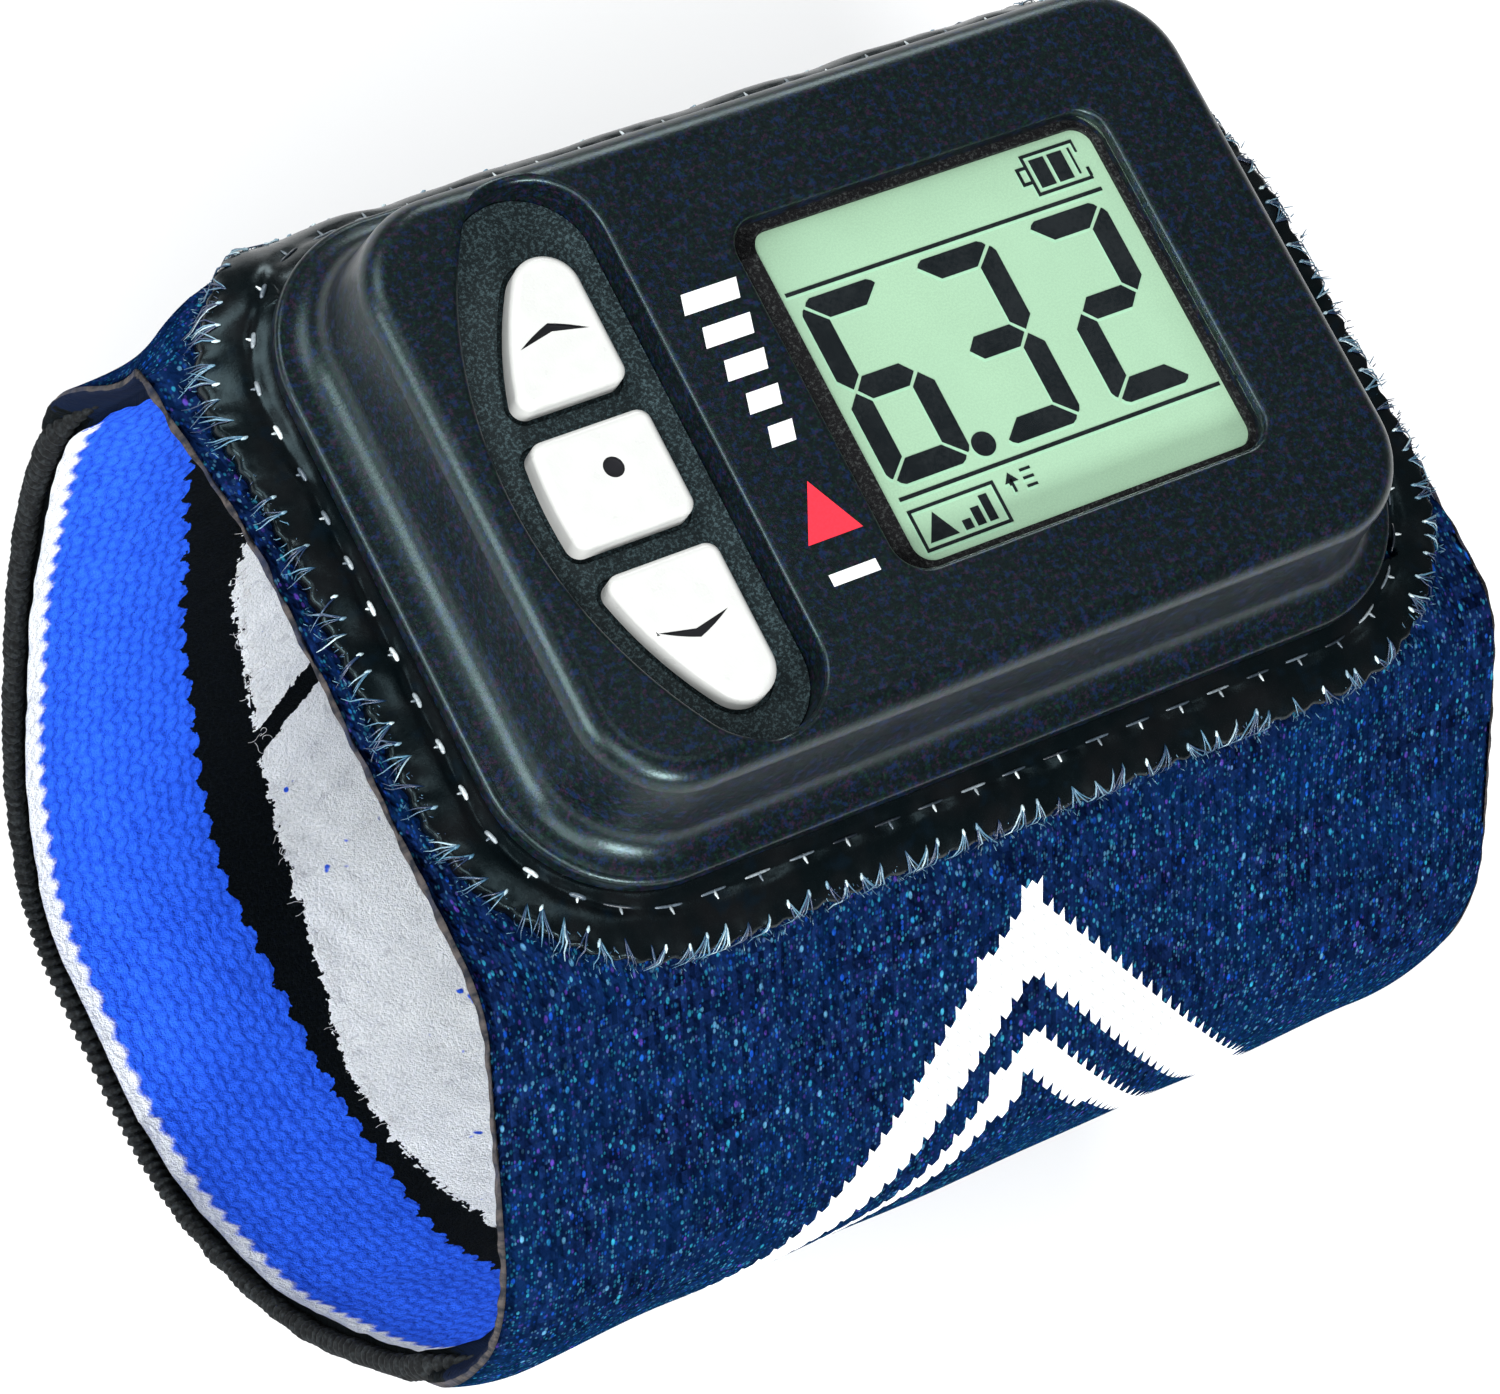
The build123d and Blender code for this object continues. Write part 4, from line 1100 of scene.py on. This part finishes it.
glyph_black = moulded("glyph_black", (0.006, 0.009, 0.011), 0.8, 0.12, 0.001)
glyph_black.set("Specular IOR Level", 0.05)
glyph_shade = moulded("glyph_shade", (0.33, 0.58, 0.40), 0.6, 0.04, 0.001)
plates("screen_glyphs", screen_shapes(), GLYPH_LOW, GLYPH_HIGH, glyph_black)
plates("screen_glyph_shades", screen_shapes(SHADOW_SHIFT), FILM_TOP + 0.001, FILM_TOP + 0.004,
       glyph_shade)

# ------------------------------------------------------- print on the housing
PRINT_LOW, PRINT_HIGH = TOP + 0.002, TOP + 0.022
PRINT_X = SX - 15.9


def print_shapes():
    """A plain level scale: white bars, wider towards the top."""
    bars = []
    for k, wide in enumerate((3.9, 3.4, 2.9, 2.4, 1.9)):
        y = SY + 7.4 - k * 2.15
        bars.append([(PRINT_X - wide / 2, y - 0.6), (PRINT_X + wide / 2 - 0.35, y - 0.6),
                     (PRINT_X + wide / 2, y + 0.6), (PRINT_X - wide / 2 + 0.35, y + 0.6)])
    bars.append(block(PRINT_X - 1.5, SY - 10.2, PRINT_X + 1.5, SY - 9.5))
    return bars


POINTER = [(PRINT_X - 1.75, SY - 7.6), (PRINT_X + 1.75, SY - 7.6), (PRINT_X, SY - 4.2)]
for name, shapes, ink in (
        ("print_white", print_shapes(), printed("ink_white", (0.80, 0.81, 0.81))),
        ("print_marker", [POINTER], printed("ink_red", (0.82, 0.022, 0.045)))):
    plates(name, shapes, PRINT_LOW, PRINT_HIGH, ink)

# ------------------------------------------------------ materials on CAD nodes
gold = metal("contact_metal", (0.75, 0.58, 0.30), 0.3)
MARKS = {"up": (-18.3, 7.9), "select": (-18.7, 0.1), "down": (-18.7, -9.3)}
# Each material with the CAD nodes it covers.
CAD_MATERIALS = [
    (housing_black(), ["upper_housing"]),
    (moulded("back_black", (0.016, 0.017, 0.019), 0.5, 0.3, 0.03, 3.0), ["lower_housing"]),
    (moulded("cap_black", (0.014, 0.014, 0.016), 0.42, 0.3, 0.02, 4.0), ["battery_cap"]),
    (speckled("tray_rubber", (0.006, 0.012, 0.014), (0.050, 0.085, 0.095), 0.7, 0.035,
              (6.0, 2.0, 0.7), (0.45, 0.7), Specular_IOR_Level=0.25), ["keypad_membrane"]),
    (speckled("mask_black", (0.003, 0.003, 0.004), (0.05, 0.055, 0.055), 0.75, 0.05,
              (5.5, 2.0, 0.75), (0.5, 0.72), Specular_IOR_Level=0.2), ["window_mask"]),
    (clear_pane("window_clear"), ["display_window"]),
    (lcd_green(), ["lcd_front_glass", "lcd_rear_glass", "lcd_reflector"]),
    (moulded("light_guide", (0.80, 0.84, 0.81), 0.4, 0.05), ["backlight_panel"]),
    (moulded("lamp_cream", (0.85, 0.80, 0.60), 0.35, 0.1), ["backlight_leds"]),
    (moulded("holder_cream", (0.70, 0.70, 0.66), 0.45, 0.08), ["lcd_holder"]),
    (moulded("seal_black", (0.008, 0.008, 0.009), 0.6),
     ["zebra_connectors", "housing_gasket", "battery_cap_o_ring"]),
    (moulded("board_green", (0.012, 0.11, 0.045), 0.35, 0.3, 0.01, 2.5), ["main_circuit_board"]),
    (moulded("chip_black", (0.012, 0.012, 0.013), 0.55), ["microcontroller", "board_components"]),
    (metal("bright_steel", (0.62, 0.62, 0.63), 0.3),
     ["pressure_sensor", "quartz_crystal", "coin_cell"]),
    (metal("screw_steel", (0.55, 0.55, 0.56), 0.35), ["case_screws"]),
    (moulded("vent_film", (0.80, 0.80, 0.80), 0.7, 0.05, 0.03), ["pressure_port_membrane"]),
    (gold, ["battery_negative_contact", "battery_positive_contact",
            *(f"{key}_switch_dome" for key in MARKS)]),
    *((key_white(key, HX + x, HY + y), [f"{key}_button"]) for key, (x, y) in MARKS.items()),
]


def make_dome(key):
    """A key's snap dome, built at rest; the real dome flattens as the key goes down."""
    node = f"{key}_switch_dome"
    low, high = node_box(node)
    middle = (low[:2] + high[:2]) / 2
    reach, height = (high[0] - low[0]) / 2, high[2] - low[2]
    sides, rings = 48, 9
    turn = np.arange(sides) * 2 * math.pi / sides
    points = []
    for wide, tall in ((reach, height), (reach - 0.3, height - 0.12)):
        for r in np.linspace(1.0, 0.04, rings):
            x, y = (middle[i] + wide * r * f(turn) for i, f in enumerate((np.cos, np.sin)))
            points.append(np.stack([x, y, np.full(sides, low[2] + tall * (1 - r * r))], -1))
    points = np.concatenate(points)
    inner = rings * sides
    faces = grid_faces(rings, sides)
    faces += [tuple(inner + v for v in quad[::-1]) for quad in faces]
    for k in range(sides):
        n = (k + 1) % sides
        faces.append((k, inner + k, inner + n, n))
    crown = list(range(inner - sides, inner))
    faces += [tuple(crown), tuple(inner + v for v in reversed(crown))]
    piece = make_piece(f"{key}_snap_dome", points, faces, [gold])
    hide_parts(node)
    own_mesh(piece)


for key in MARKS:
    make_dome(key)

for material, nodes in CAD_MATERIALS:
    for node in nodes:
        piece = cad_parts[node]
        if not piece.material_slots:
            piece.data.materials.append(material.mat)
        for holder in piece.material_slots:
            holder.material = material.mat

# ------------------------------------------------------------ floor and lights
floor_mat = Shade("floor_pale", (0.90, 0.90, 0.90), 0.75)
floor_mesh = bpy.data.meshes.new("floor")
REACH = 4.0                          # metres
floor_mesh.from_pydata(
    [(x, y, 0) for x, y in block(-REACH, -REACH, REACH, REACH)], [], [(0, 1, 2, 3)])
floor_mesh.materials.append(floor_mat.mat)
floor = bpy.data.objects.new("floor", floor_mesh)
bpy.context.scene.collection.objects.link(floor)

world = bpy.data.worlds.new("studio")
world.use_nodes = True
sky = world.node_tree.nodes["Background"].inputs
sky["Color"].default_value = (0.90, 0.97, 1.0, 1.0)
sky["Strength"].default_value = 0.17
bpy.context.scene.world = world
bpy.context.scene.view_settings.view_transform = "Standard"

SUBJECT = Vector((0.0, HY * MM, 0.045))


def softbox(name, place, size, power, color=(1, 1, 1)):
    data = bpy.data.lights.new(name, "AREA")
    data.shape, data.size, data.size_y = "RECTANGLE", size[0], size[1]
    data.energy, data.color = power, color
    light = bpy.data.objects.new(name, data)
    light.location = SUBJECT + Vector(place)
    light.rotation_mode = "QUATERNION"
    light.rotation_quaternion = (-Vector(place)).to_track_quat("-Z", "Y")
    bpy.context.scene.collection.objects.link(light)


softbox("key_light", (-0.50, -0.36, 0.72), (0.42, 0.42), 4.2)
softbox("shoulder_light", (-0.24, -0.74, 0.42), (0.26, 0.16), 9.0)
softbox("overhead", (0.20, 0.05, 0.90), (0.18, 0.18), 0.5)
softbox("side_light", (-0.85, 0.10, 0.38), (0.40, 0.40), 7.4)
softbox("rim_light", (0.42, 0.72, 0.36), (0.30, 0.20), 2.4)
softbox("floor_light", (-0.60, 0.80, 0.95), (0.60, 0.60), 7.5)

# --------------------------------------------------------------------- camera
LENS, SENSOR = 124.8, 36.0
CAMERA_FROM_SCREEN = Vector((-146.416, -73.071, 236.742))
camera_right = Vector((0.8357, -0.4467, 0.3195))
camera_ahead = Vector((0.4476, 0.2169, -0.8675))
camera_data = bpy.data.cameras.new("camera")
camera_data.lens, camera_data.sensor_width = LENS, SENSOR
camera_data.sensor_fit = "HORIZONTAL"
camera = bpy.data.objects.new("camera", camera_data)
ahead = camera_ahead.normalized()
right = (camera_right - ahead * camera_right.dot(ahead)).normalized()
up = right.cross(ahead)
turn = Matrix((right, up, -ahead)).transposed()
spot = (Vector((SX, SY, PLATE_UNDER)) + CAMERA_FROM_SCREEN) * MM
camera.matrix_world = Matrix.Translation(spot) @ turn.to_4x4()
bpy.context.scene.collection.objects.link(camera)
bpy.context.scene.camera = camera
